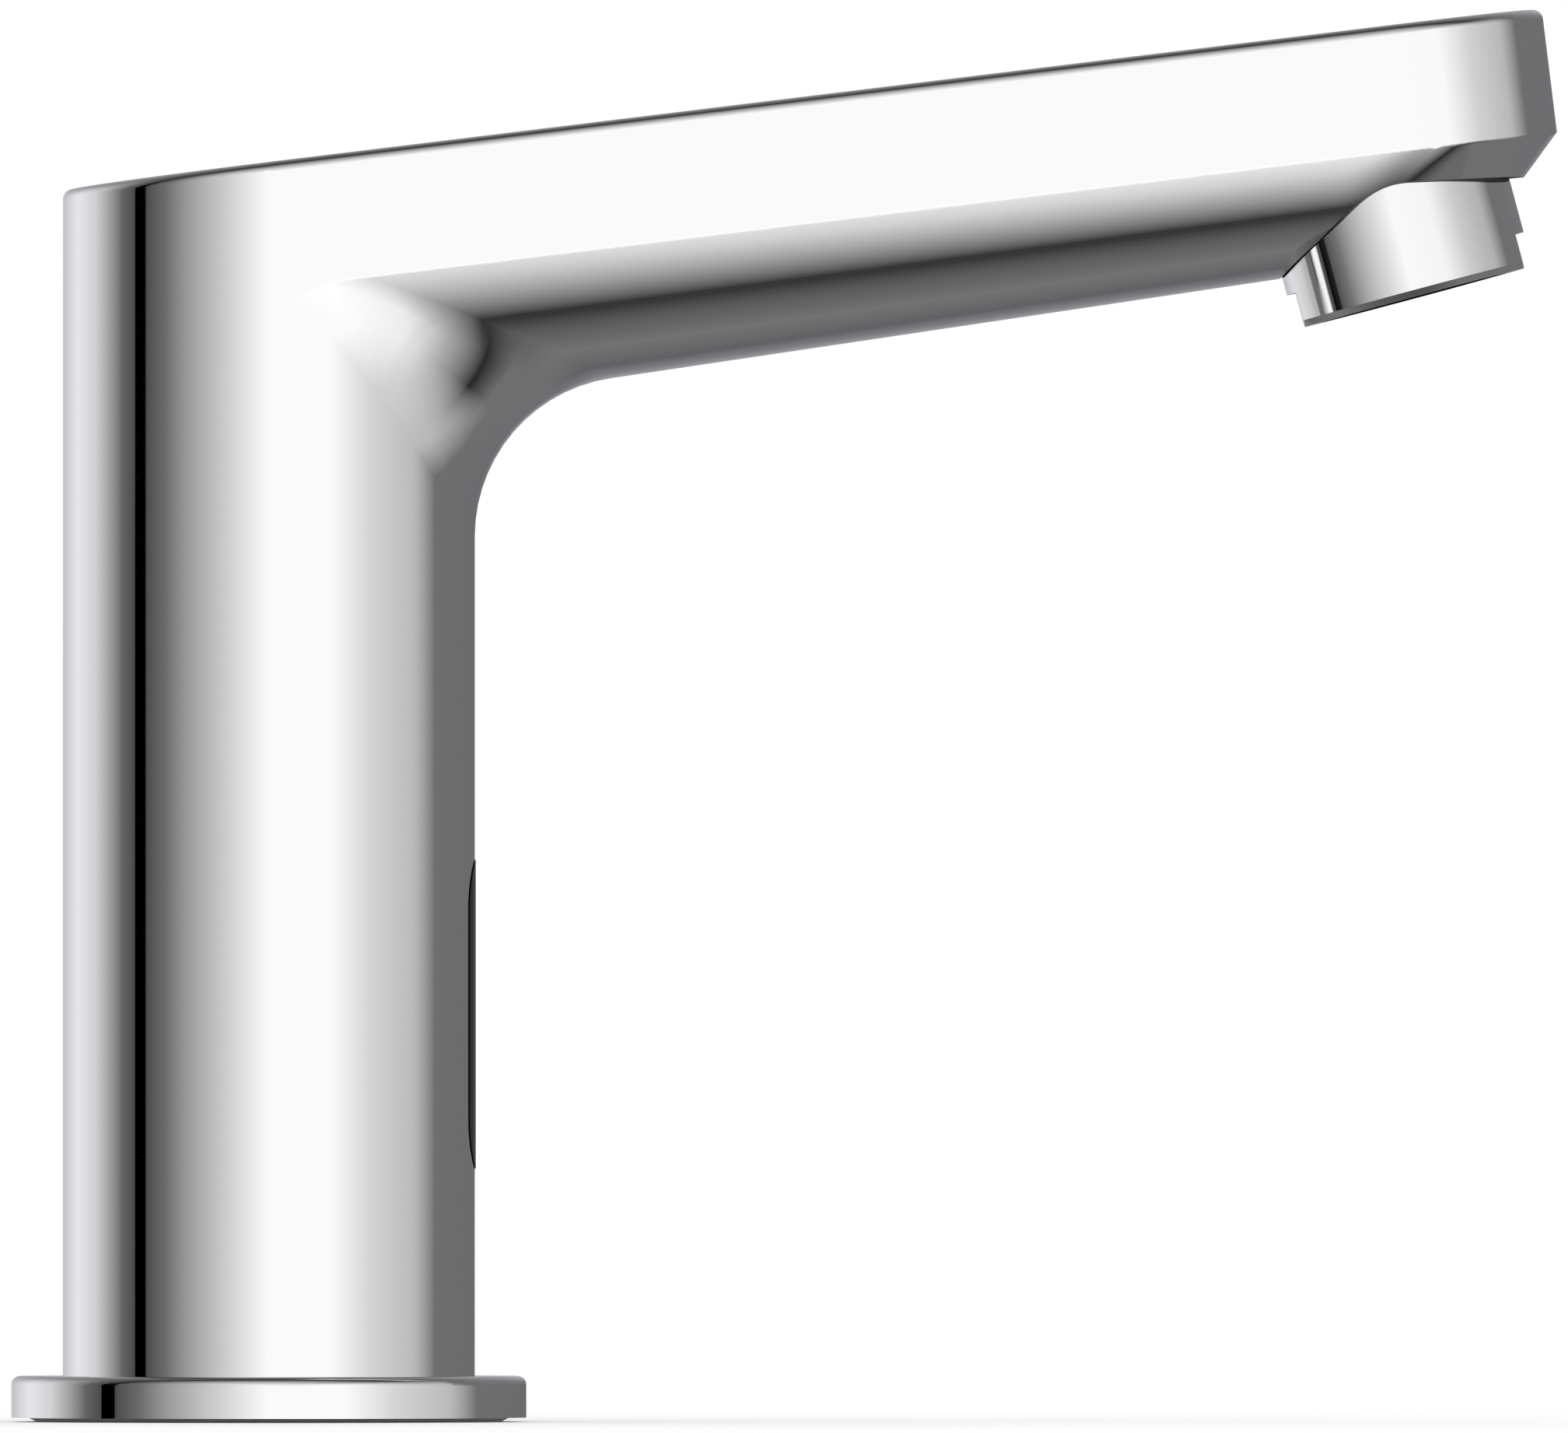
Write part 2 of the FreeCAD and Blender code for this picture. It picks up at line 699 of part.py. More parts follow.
def make_check_valve_body():
    x = -inlet_offset
    top = check_level + check_body_height
    body = cylinder(riser_bore - touch, check_level, top, x)
    body = body.cut(cylinder(check_seat_bore, check_level, top, x))
    return body.cut(cylinder(check_body_bore, check_seat_top, top, x))


def make_check_guide():
    """Spider that guides the poppet's stem and backs its spring."""
    x = -inlet_offset
    high = check_guide_low + check_guide_height
    guide = cylinder(check_body_bore - touch, check_guide_low, high, x)
    guide = guide.cut(cylinder(poppet_stem_radius + fit, check_guide_low, high, x))
    way_circle = (check_body_bore + poppet_stem_radius) / 2
    way_radius = (check_body_bore - poppet_stem_radius) / 2 - hole_margin
    for step in range(check_guide_ways):
        turn = step * 2 * math.pi / check_guide_ways
        way = cylinder(way_radius, check_guide_low, high,
                       x + way_circle * math.cos(turn), way_circle * math.sin(turn))
        guide = guide.cut(way)
    return guide


def make_check_poppet():
    low = check_seat_top + touch
    head = cylinder(poppet_radius, low, poppet_top, -inlet_offset)
    stem_top = check_guide_low + check_guide_height
    return head.fuse(cylinder(poppet_stem_radius, low, stem_top, -inlet_offset))


def make_check_spring():
    return spring(check_spring_radius, check_spring_wire, poppet_top + touch, check_guide_low - touch,
                  check_spring_turns, -inlet_offset)


# ---------------------------------------------------------------- solenoid valve
def bonnet_screw_places():
    """Centres of the four screws through the bonnet into the valve body."""
    places = []
    for angle in (bonnet_screw_angle, 180 - bonnet_screw_angle):
        for side in (-1, 1):
            turn = math.radians(angle)
            places.append((bonnet_screw_circle * math.cos(turn) - valve_offset,
                           side * bonnet_screw_circle * math.sin(turn)))
    return places


def valve_puck(low, high):
    """Disc that fills the column's bore."""
    return cylinder(bore_radius - valve_gap, low, high)


def make_valve_body():
    """Water comes up at the rear into a ring round the seat and leaves down through the seat."""
    cross_z = valve_level + port_height
    sump = cross_z - port_radius - port_step
    chamber_floor = valve_top - chamber_depth
    feed_x = -valve_offset - (chamber_radius + seat_radius) / 2
    body = valve_puck(valve_level, valve_top)
    cuts = [
        cylinder(riser_radius + fit, valve_level, riser_top, -inlet_offset),
        cylinder(port_radius, riser_top, chamber_floor, feed_x),
        ring(chamber_radius, seat_radius, chamber_floor, valve_top, -valve_offset),
        cylinder(seat_bore, sump, valve_top, -valve_offset),
        rod_x(port_radius, -valve_offset, tube_offset, cross_z),
        cylinder(tube_bore, sump, tube_foot, tube_offset),
        cylinder(tube_radius + fit, tube_foot, valve_top, tube_offset),
        ring(tube_radius + 2 * o_ring_wire, tube_radius, tube_ring_level - o_ring_wire,
             tube_ring_level + o_ring_wire, tube_offset),
    ]
    for y in (-tie_rod_offset, tie_rod_offset):
        cuts.append(cylinder(tie_rod_radius + fit, valve_level, valve_level + tie_rod_grip, 0, y))
    for x, y in bonnet_screw_places():
        cuts.append(cylinder(bonnet_screw_radius + fit, bonnet_screw_tip - hole_run_out, valve_top, x, y))
    return body.cut(cuts)


def make_diaphragm():
    """Rubber ring whose rim is clamped under the bonnet, round the moving insert."""
    return ring(diaphragm_radius, insert_radius + fit, valve_top, valve_top + diaphragm_thickness,
                -valve_offset)


def make_diaphragm_insert():
    """Rigid middle of the diaphragm, which lifts off the seat, with the pilot hole through it."""
    low = valve_top + touch
    insert = cylinder(insert_radius, low, low + insert_height, -valve_offset)
    insert = insert.fuse(cylinder(pilot_nipple_radius, low, insert_top, -valve_offset))
    return insert.cut(cylinder(pilot_bore, low, insert_top, -valve_offset))


def make_valve_bonnet():
    bonnet = valve_puck(valve_top, bonnet_top)
    bonnet = bonnet.fuse(cylinder(bonnet_neck_radius, valve_top, yoke_low, -valve_offset))
    chamber_top = valve_top + bonnet_chamber_height
    cuts = [
        cylinder(diaphragm_radius + fit, valve_top, valve_top + diaphragm_thickness, -valve_offset),
        cylinder(bonnet_chamber_radius, valve_top, chamber_top, -valve_offset),
        cylinder(core_tube_radius + fit, chamber_top, yoke_low, -valve_offset),
        cylinder(tube_radius + valve_gap, valve_top, bonnet_top, tube_offset),
    ]
    for x, y in bonnet_screw_places():
        cuts.append(cylinder(bonnet_screw_radius + fit, valve_top, bonnet_top, x, y))
    return bonnet.cut(cuts)


def make_bonnet_screws():
    screws = []
    head_top = bonnet_top + bonnet_screw_head_height
    socket_end = bonnet_top + bonnet_screw_head_height / 2
    for x, y in bonnet_screw_places():
        head = cylinder(bonnet_screw_head_radius, bonnet_top, head_top, x, y)
        head = head.cut(hexagon(bonnet_screw_socket, socket_end, head_top, x, y))
        screws.append(head.fuse(cylinder(bonnet_screw_radius, bonnet_screw_tip, bonnet_top, x, y)))
    return group(screws)


def make_core_tube():
    low = valve_top + bonnet_chamber_height
    return ring(core_tube_radius, core_tube_bore, low, yoke_high, -valve_offset)


def make_fixed_core():
    """Steel stop at the top of the core tube, with the threaded stud for the coil's nut."""
    core = cylinder(core_tube_bore - touch, core_low, yoke_high, -valve_offset)
    return core.fuse(cylinder(core_stud_radius, core_low, yoke_high + core_stud_height, -valve_offset))


def make_plunger():
    """Sliding iron: its nose closes the pilot hole, and its spring sits in the bore from above."""
    x = -valve_offset
    nose = cylinder(plunger_nose_radius, plunger_low, plunger_top, x)
    plunger = nose.fuse(cylinder(plunger_radius, plunger_shoulder, plunger_top, x))
    spring_floor = plunger_top - plunger_spring_depth
    plunger = plunger.cut(cylinder(plunger_spring_bore, spring_floor, plunger_top, x))
    pad_top = plunger_low + plunger_pad_height
    return plunger.cut(cylinder(plunger_pad_radius + touch, plunger_low, pad_top, x))


def make_plunger_pad():
    return cylinder(plunger_pad_radius, plunger_low, plunger_low + plunger_pad_height, -valve_offset)


def make_plunger_spring():
    return spring(plunger_spring_radius, plunger_spring_wire, plunger_top - plunger_spring_depth + touch,
                  core_low - touch, plunger_spring_turns, -valve_offset)


def make_coil_bobbin():
    x = -valve_offset
    high = coil_low + coil_height
    bobbin = cylinder(core_tube_radius + fit + bobbin_wall, coil_low, high, x)
    bobbin = bobbin.fuse(cylinder(coil_radius, coil_low, coil_low + bobbin_wall, x))
    bobbin = bobbin.fuse(cylinder(coil_radius, high - bobbin_wall, high, x))
    return bobbin.cut(cylinder(core_tube_radius + fit, coil_low, high, x))


def make_coil_winding():
    return ring(coil_radius - bobbin_wall / 2, core_tube_radius + fit + bobbin_wall, coil_low + bobbin_wall,
                coil_low + coil_height - bobbin_wall, -valve_offset)


def make_coil_yoke():
    """Steel frame round the coil that carries its magnetic flux."""
    x_low = -valve_offset - yoke_half_width
    x_high = -valve_offset + yoke_half_width
    inside = coil_radius + valve_gap
    frame = box(x_low, x_high, inside + yoke_thickness, yoke_low, yoke_high)
    frame = frame.cut(box(x_low, x_high, inside, coil_low, coil_low + coil_height))
    return frame.cut(cylinder(core_tube_radius + fit, yoke_low, yoke_high, -valve_offset))


def make_coil_nut():
    high = yoke_high + nut_height
    collar_radius_here = core_tube_radius + yoke_thickness
    nut = hexagon(nut_across_flats, yoke_high, high, -valve_offset)
    collar = cylinder(collar_radius_here, yoke_high, yoke_high + nut_collar_height, -valve_offset)
    return nut.fuse(collar).cut(cylinder(core_stud_radius + fit, yoke_high, high, -valve_offset))


# ---------------------------------------------------------------- water tube
def tube_path():
    """Up from the valve, round one bend and along the spout."""
    turn = math.pi / 2 - slope_rad
    setback = tube_bend * math.tan(turn / 2)
    corner = Vector(tube_offset, 0, tube_axis_z(tube_offset))
    rise_end = corner - up * setback
    along = Vector(math.cos(slope_rad), 0, math.sin(slope_rad))
    run_start = corner + along * setback
    centre = rise_end + Vector(tube_bend, 0, 0)
    toward_corner = corner - centre
    middle = centre + toward_corner * (tube_bend / toward_corner.Length)
    foot = Vector(tube_offset, 0, tube_foot)
    end_x = cavity_end_x + tube_grip
    end = Vector(end_x, 0, tube_axis_z(end_x))
    return Part.Wire([
        Part.makeLine(foot, rise_end),
        Part.Arc(rise_end, middle, run_start).toShape(),
        Part.makeLine(run_start, end),
    ])


def make_outlet_tube():
    path = tube_path()
    foot = path.Edges[0].valueAt(path.Edges[0].FirstParameter)
    solids = []
    for radius in (tube_radius, tube_bore):
        profile = Part.Wire([Part.makeCircle(radius, foot, up)])
        solids.append(path.makePipeShell([profile], True, True))
    return solids[0].cut(solids[1])


def make_tube_o_rings():
    radius = tube_radius + o_ring_wire
    low_ring = torus(radius, o_ring_wire, tube_ring_level, tube_offset)
    x = cavity_end_x + tube_grip / 2
    along = Vector(math.cos(slope_rad), 0, math.sin(slope_rad))
    high_ring = Part.makeTorus(radius, o_ring_wire, Vector(x, 0, tube_axis_z(x)), along)
    return group([low_ring, high_ring])


# ---------------------------------------------------------------- aerator
def hole_pattern(pitch, reach):
    """Centres of a triangular pattern of holes inside a circle."""
    places = []
    rows = int(reach / pitch) + 1
    for row in range(-rows, rows + 1):
        for column in range(-2 * rows, 2 * rows + 1):
            x = (column + 0.5 * (row % 2)) * pitch
            y = row * pitch * math.sin(math.pi / 3)
            if math.hypot(x, y) < reach:
                places.append((x, y))
    return places


def perforated(radius, low, high, pitch, hole):
    """Disc with a regular pattern of round holes."""
    places = hole_pattern(pitch, radius - hole - hole_margin)
    return cylinder(radius, low, high).cut([cylinder(hole, low, high, x, y) for x, y in places])


def make_aerator_housing():
    """Chromed collar with a spanner flat at its front and at its rear, and the thread above it."""
    housing = cylinder(collar_radius, 0, collar_length)
    bottom = edges_where(housing, lambda p: abs(p.z) < near)
    housing = housing.makeChamfer(collar_bevel, bottom)
    housing = housing.fuse(cylinder(aerator_thread_radius - fit, collar_length, aerator_top))
    half = collar_across_flats / 2
    for low_x in (half, -half - collar_radius):
        housing = housing.cut(box(low_x, low_x + collar_radius, collar_radius, 0, collar_flat_length))
    housing = housing.cut(cylinder(collar_lip_bore, 0, collar_lip))
    return aerator_frame(housing.cut(cylinder(collar_bore, collar_lip, aerator_top)))


def insert_levels():
    """Heights inside the collar: grille, two screens, mixer and regulator, one on the other."""
    grille = collar_lip
    screen = grille + grille_thickness
    mixer = screen + 2 * screen_thickness + screen_gap
    regulator = mixer + mixer_height
    return grille, screen, mixer, regulator


def make_outlet_grille():
    low = insert_levels()[0]
    disc = perforated(collar_bore - fit, low, low + grille_thickness, grille_pitch, grille_hole)
    return aerator_frame(disc)


def make_aerator_screens():
    """Two fine screens with a spacer ring between them, drawn with a coarse hole pattern."""
    low = insert_levels()[1]
    screens = []
    for step in range(2):
        level = low + step * (screen_thickness + screen_gap)
        screens.append(perforated(collar_bore - fit, level, level + screen_thickness, grille_pitch,
                                  mixer_hole))
    spacer = ring(collar_bore - fit, collar_lip_bore, low + screen_thickness,
                  low + screen_thickness + screen_gap)
    return aerator_frame(screens[0].fuse([spacer, screens[1]]))


def make_aerator_mixer():
    """Cup whose small holes break the water into jets that draw in air."""
    low = insert_levels()[2]
    cup = cylinder(collar_bore - fit, low, low + mixer_height)
    cup = cup.cut(cylinder(collar_lip_bore, low + mixer_height / 2, low + mixer_height))
    jets = [cylinder(mixer_hole, low, low + mixer_height, x, y)
            for x, y in hole_pattern(2 * grille_pitch, collar_lip_bore - mixer_hole)]
    return aerator_frame(cup.cut(jets))


def make_flow_regulator():
    low = insert_levels()[3]
    high = low + regulator_height
    cord = 2 * o_ring_wire
    disc = cylinder(collar_bore - fit, low, high)
    disc = disc.cut(ring(regulator_ring_radius + cord, regulator_ring_radius - cord, high - cord, high))
    for step in range(regulator_holes):
        turn = step * 2 * math.pi / regulator_holes
        x = regulator_ring_radius * math.cos(turn)
        y = regulator_ring_radius * math.sin(turn)
        disc = disc.cut(cylinder(o_ring_wire, low, high, x, y))
    return aerator_frame(disc)


def make_regulator_o_ring():
    level = insert_levels()[3] + regulator_height - o_ring_wire
    return aerator_frame(torus(regulator_ring_radius, o_ring_wire, level))


def make_aerator_washer():
    return aerator_frame(ring(aerator_thread_radius - fit, washer_bore, aerator_top,
                              aerator_top + washer_thickness))


# ---------------------------------------------------------------- sensor
def make_sensor_window():
    slab = stadium(slab_width, slab_height, window_back, window_face + cut_over, window_centre_z)
    low = window_centre_z - window_height
    return slab.common(cylinder(window_face, low, low + 2 * window_height))


def make_sensor_gasket():
    front = gasket_back + gasket_thickness
    outer = stadium(slab_width, slab_height, gasket_back, front, window_centre_z)
    return outer.cut(stadium(neck_width + 2 * fit, neck_height + 2 * fit, gasket_back, front,
                             window_centre_z))


def post_heights():
    """Heights of the two screw posts in the capsule."""
    return window_centre_z - post_offset, window_centre_z + post_offset


def make_sensor_housing():
    """Potted-style capsule: a lip behind the window and a neck that passes through the column's wall."""
    lip_back = gasket_back + gasket_thickness
    shell = stadium(slab_width, slab_height, lip_back, window_back, window_centre_z)
    shell = shell.fuse(stadium(neck_width, neck_height, capsule_back, lip_back, window_centre_z))
    inside = stadium(neck_width - 2 * capsule_wall, neck_height - 2 * capsule_wall,
                     capsule_back + capsule_wall, window_back, window_centre_z)
    shell = shell.cut(inside)
    for z in post_heights():
        post = rod_x(post_radius, capsule_back, board_back, z)
        shell = shell.fuse(post)
        shell = shell.cut(rod_x(bridge_screw_radius + fit, capsule_back, board_back - post_cap, z))
    return shell.cut(rod_x(lead_radius, capsule_back, capsule_back + capsule_wall, window_centre_z))


def make_sensor_board():
    smaller = 2 * (capsule_wall + fit)
    return stadium(neck_width - smaller, neck_height - smaller, board_back, board_front, window_centre_z)


def make_led(z):
    """Three-millimetre diode that looks forward through the window."""
    dome_start = board_front + led_body
    straight = rod_x(led_radius, board_front, dome_start, z)
    dome = Part.makeSphere(led_radius, Vector(dome_start, 0, z))
    return straight.fuse(dome.cut(box(0, dome_start, led_radius, z - led_radius, z + led_radius)))


def make_status_led():
    half = status_led_size / 2
    return box(board_front, board_front + half, half, window_centre_z - half, window_centre_z + half)


def make_sensor_bridge():
    """Clamp across the column's bore that draws the capsule back against the wall."""
    half = bridge_width / 2
    inner = neck_height / 2 + window_gap
    outer = inner + bridge_foot
    clamp = box(bridge_back, bore_radius, half, window_centre_z - outer, window_centre_z + outer)
    clamp = clamp.cut(box(capsule_back, bore_radius, half, window_centre_z - inner, window_centre_z + inner))
    clamp = clamp.common(cylinder(bore_radius - touch, 0, 2 * window_centre_z))
    for z in post_heights():
        clamp = clamp.cut(rod_x(bridge_screw_radius + fit, bridge_back, capsule_back, z))
    return clamp.cut(rod_x(lead_radius, bridge_back, capsule_back, window_centre_z))


def make_bridge_screws():
    screws = []
    head_back = bridge_back - bridge_screw_head_height
    tip = bridge_back + bridge_screw_length
    for z in post_heights():
        head = rod_x(bridge_screw_head_radius, head_back, bridge_back, z)
        screws.append(head.fuse(rod_x(bridge_screw_radius, bridge_back, tip, z)))
    return group(screws)


# ---------------------------------------------------------------- nodes
nodes = {
    "tap_body": make_tap_body(),
    "base_flange": make_base_flange(),
    "base_seal": make_base_seal(),
    "base_plate": make_base_plate(),
    "base_screws": make_base_screws(),
    "cable_grommet": make_cable_grommet(),
    "tie_rods": make_tie_rods(),
    "inlet_riser": make_inlet_riser(),
    "riser_o_rings": make_riser_o_rings(),
    "inlet_strainer": make_inlet_strainer(),
    "check_valve_body": make_check_valve_body(),
    "check_guide": make_check_guide(),
    "check_poppet": make_check_poppet(),
    "check_spring": make_check_spring(),
    "valve_body": make_valve_body(),
    "diaphragm": make_diaphragm(),
    "diaphragm_insert": make_diaphragm_insert(),
    "valve_bonnet": make_valve_bonnet(),
    "bonnet_screws": make_bonnet_screws(),
    "core_tube": make_core_tube(),
    "fixed_core": make_fixed_core(),
    "plunger": make_plunger(),
    "plunger_pad": make_plunger_pad(),
    "plunger_spring": make_plunger_spring(),
    "coil_bobbin": make_coil_bobbin(),
    "coil_winding": make_coil_winding(),
    "coil_yoke": make_coil_yoke(),
    "coil_nut": make_coil_nut(),
    "outlet_tube": make_outlet_tube(),
    "tube_o_rings": make_tube_o_rings(),
    "aerator_housing": make_aerator_housing(),
    "outlet_grille": make_outlet_grille(),
    "aerator_screens": make_aerator_screens(),
    "aerator_mixer": make_aerator_mixer(),
    "flow_regulator": make_flow_regulator(),
    "regulator_o_ring": make_regulator_o_ring(),
    "aerator_washer": make_aerator_washer(),
    "sensor_window": make_sensor_window(),
    "sensor_gasket": make_sensor_gasket(),
    "sensor_housing": make_sensor_housing(),
    "sensor_board": make_sensor_board(),
    "infrared_emitter": make_led(window_centre_z + led_spacing / 2),
    "infrared_receiver": make_led(window_centre_z - led_spacing / 2),
    "status_led": make_status_led(),
    "sensor_bridge": make_sensor_bridge(),
    "bridge_screws": make_bridge_screws(),
}

for name, shape in nodes.items():
    shape.exportStep("parts/" + name + ".step")
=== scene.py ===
"""Looks of the sensor tap: its materials and a plain white studio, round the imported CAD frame."""

import math

import bpy
import numpy as np
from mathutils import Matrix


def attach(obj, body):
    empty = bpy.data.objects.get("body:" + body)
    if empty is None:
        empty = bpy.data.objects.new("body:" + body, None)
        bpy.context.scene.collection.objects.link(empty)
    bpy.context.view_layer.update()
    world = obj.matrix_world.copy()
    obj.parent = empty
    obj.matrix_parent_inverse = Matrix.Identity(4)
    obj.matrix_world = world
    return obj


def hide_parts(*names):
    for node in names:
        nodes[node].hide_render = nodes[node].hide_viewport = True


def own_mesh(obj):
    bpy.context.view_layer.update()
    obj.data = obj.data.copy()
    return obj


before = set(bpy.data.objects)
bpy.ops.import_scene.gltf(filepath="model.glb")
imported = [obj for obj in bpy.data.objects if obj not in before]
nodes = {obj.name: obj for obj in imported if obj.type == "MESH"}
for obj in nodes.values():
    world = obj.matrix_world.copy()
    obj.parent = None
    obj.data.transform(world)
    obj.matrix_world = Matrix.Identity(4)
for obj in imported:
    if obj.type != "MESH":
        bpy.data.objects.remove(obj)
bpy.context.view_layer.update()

MM = 0.001

# ---------------------------------------------------------------- view
# One scale holds for the whole side-on photograph: its pixels, and where x = 0 and z = 0 fall in it.
PHOTO_WIDTH, PHOTO_HEIGHT = 2016, 1842
PIXEL = 0.0755 * MM
AXIS_PIXEL, DECK_PIXEL = 345.6, 1827.5
LENS, SENSOR = 1400.0, 36.0
CAMERA_HEIGHT = 30 * MM


def add_camera():
    """Long lens from low down, square to the spout and aimed at the middle of the picture."""
    data = bpy.data.cameras.new("camera")
    data.lens = LENS
    data.sensor_width = SENSOR
    camera = bpy.data.objects.new("camera", data)
    bpy.context.scene.collection.objects.link(camera)
    distance = PHOTO_WIDTH * PIXEL * LENS / SENSOR
    x = (PHOTO_WIDTH / 2 - AXIS_PIXEL) * PIXEL
    z = (DECK_PIXEL - PHOTO_HEIGHT / 2) * PIXEL
    camera.location = (x, -distance, CAMERA_HEIGHT)
    camera.rotation_euler = (math.pi / 2 + math.atan2(z - CAMERA_HEIGHT, distance), 0, 0)
    data.clip_start = distance / 10
    data.clip_end = distance * 10
    bpy.context.scene.camera = camera


# ---------------------------------------------------------------- surface of the cast body
# The body's outer faces, in millimetres, as the CAD source draws them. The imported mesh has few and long
# triangles, and its normals run smoothly over shallow edges, which a mirror finish shows as smears.
COLUMN_RADIUS = 20.0
TOP_HEIGHT = 121.96
HEAD_SLOPE = math.radians(7.0)
BAND = 12.05
REACH = 125.05
TAPER = math.radians(2.6)
KEEL_DROP = 25.62
KEEL_SLOPE = math.radians(8.44)
BELLY_OVER_SIDE, BELLY_OVER_END = 0.4, 7.0
ELBOW_RADIUS = 15.5
TOP_ROUND = 1.0
CHIN_SLOPE = math.radians(47.0)
CHIN_SPREAD = math.radians(66.0)
CREASE_START, CREASE_END, CREASE_DIP = 1.4, 8.9, 2.1   # where the elbow pulls the band's edge down
CREASE_CURVE = 2.5                   # how suddenly the crease dips, as a power

ON_FACE = 0.03                       # vertices closer than this lie on a face
ON_ELBOW = 0.5                       # the same round the elbow, whose ends run wider than the rolling ball
FACING = 0.9                         # least agreement of a triangle with a face's normal
BLEND = 5.0                          # half the width over which belly and chin run into each other
RIM_LINE = 0.3                       # width of the rounded edge under the band
COARSE, FINE, FINEST = 2.5, 0.8, 0.3  # longest triangle sides: plain faces, blend, rim
RIM_GROWTH = 1.5                     # how much longer sides get per millimetre from the rim
BELLY_TURN = 1.2                     # the belly is searched a little past its ends, at turns of 1 and -1
SPINE_STEPS, SPINE_END = 240, 1.3    # points along the elbow's spine, and the turn at which it ends
SPINE_REACH = 3 * COLUMN_RADIUS      # the spine is searched this far out
HALVINGS = 40                        # steps of each search by halving
NO_AREA = 1e-12                      # keeps the normal of a flat triangle finite
NO_ANGLE = 1e-6                      # the same for the angle between two faces
PLACES = 4                           # decimals to which points that should meet agree
PAINTED_OUTLET_SHADE = "painted_outlet_shade"                # marks the faces inside the outlet, which get a near-black material: painted shade for the gap round the aerator


def unit(vectors):
    return vectors / np.linalg.norm(vectors, axis=-1, keepdims=True)


def top_z(x):
    return TOP_HEIGHT + math.tan(HEAD_SLOPE) * x


def rim_z(x):
    return top_z(x) - BAND / math.cos(HEAD_SLOPE)


def below_rim(p):
    """Distance below the plane that the band's lower edge lies in."""
    return (rim_z(p[:, 0]) - p[:, 2]) * math.cos(HEAD_SLOPE)


def below_crease(p):
    """Distance below the band's lower edge, which dips where the elbow runs into the column."""
    x = np.clip(p[:, 0], CREASE_START, CREASE_END)
    return below_rim(p) - CREASE_DIP * ((CREASE_END - x) / (CREASE_END - CREASE_START)) ** CREASE_CURVE


# Every face function gives each point's distance outside the face, and the face's normal there.
def column_face(p):
    out = np.hypot(p[:, 0], p[:, 1])
    return out - COLUMN_RADIUS, np.stack([p[:, 0] / out, p[:, 1] / out, 0 * out], 1)


def wall_face(p):
    side = np.where(p[:, 1] < 0, -1.0, 1.0)
    normal = np.stack([0 * side + math.sin(TAPER), side * math.cos(TAPER), 0 * side], 1)
    return (p * normal).sum(1) - COLUMN_RADIUS, normal


def front_face(p):
    lean = math.tan(HEAD_SLOPE)
    shrink = math.sin(TAPER) / (1 - math.sin(TAPER))
    front = REACH - (p[:, 2] - rim_z(REACH)) * lean
    radius = COLUMN_RADIUS / (1 - math.sin(TAPER)) - front * shrink
    across = p[:, 0] - (front - radius)
    out = np.hypot(across, p[:, 1])
    rise = across / out * lean * (1 + shrink) - lean * shrink
    return out - radius, unit(np.stack([across / out, p[:, 1] / out, rise], 1))


def top_face(p):
    normal = np.array([-math.sin(HEAD_SLOPE), 0, math.cos(HEAD_SLOPE)])
    return (p[:, 2] - top_z(p[:, 0])) * math.cos(HEAD_SLOPE), np.tile(normal, (len(p), 1))


def rounded(side_face):
    """The round between the sloping top and one of the side faces."""
    def face(p):
        side_gap, side = side_face(p)
        top_gap, top = top_face(p)
        between = (side * top).sum(1)
        a, b = side_gap / TOP_ROUND + 1, top_gap / TOP_ROUND + 1
        normal = (a - b * between)[:, None] * side + (b - a * between)[:, None] * top
        normal /= (1 - between ** 2)[:, None]
        length = np.linalg.norm(normal, axis=1)
        inside = (a < -ON_FACE) | (b < -ON_FACE)
        return np.where(inside, -1, length - 1) * TOP_ROUND, unit(normal)
    return face


def belly_arc(x):
    """Keel height, radius and half turn of the belly's arc across the spout at x."""
    half = (COLUMN_RADIUS - x * math.sin(TAPER)) / math.cos(TAPER)
    keel = TOP_HEIGHT - KEEL_DROP + math.tan(KEEL_SLOPE) * x
    depth = rim_z(x) - keel
    radius = (half ** 2 + depth ** 2) / (2 * depth)
    return keel, radius, math.atan2(half, radius - depth) + BELLY_OVER_SIDE / radius


BELLY_ENDS = belly_arc(0.0), belly_arc(REACH + BELLY_OVER_END)


def belly_point(x, turn):
    """Point and normal of the belly: turn is 0 on the keel, 1 and -1 at the arc's ends."""
    along = x / (REACH + BELLY_OVER_END)
    point, across, lengthwise = np.zeros((3, len(x), 3))
    point[:, 0] = x
    lengthwise[:, 0] = REACH + BELLY_OVER_END
    for (keel, radius, half), share, sign in ((BELLY_ENDS[0], 1 - along, -1), (BELLY_ENDS[1], along, 1)):
        y = radius * np.sin(half * turn)
        z = keel + radius * (1 - np.cos(half * turn))
        point[:, 1] += share * y
        point[:, 2] += share * z
        across[:, 1] += share * radius * half * np.cos(half * turn)
        across[:, 2] += share * radius * half * np.sin(half * turn)
        lengthwise[:, 1] += sign * y
        lengthwise[:, 2] += sign * z
    return point, unit(np.cross(across, lengthwise))


def belly_face(p):
    low, high = np.full(len(p), -BELLY_TURN), np.full(len(p), BELLY_TURN)
    for _ in range(HALVINGS):
        turn = (low + high) / 2
        beyond = belly_point(p[:, 0], turn)[0][:, 1] > p[:, 1]
        low, high = np.where(beyond, low, turn), np.where(beyond, turn, high)
    point, normal = belly_point(p[:, 0], turn)
    return ((p - point) * normal).sum(1), normal


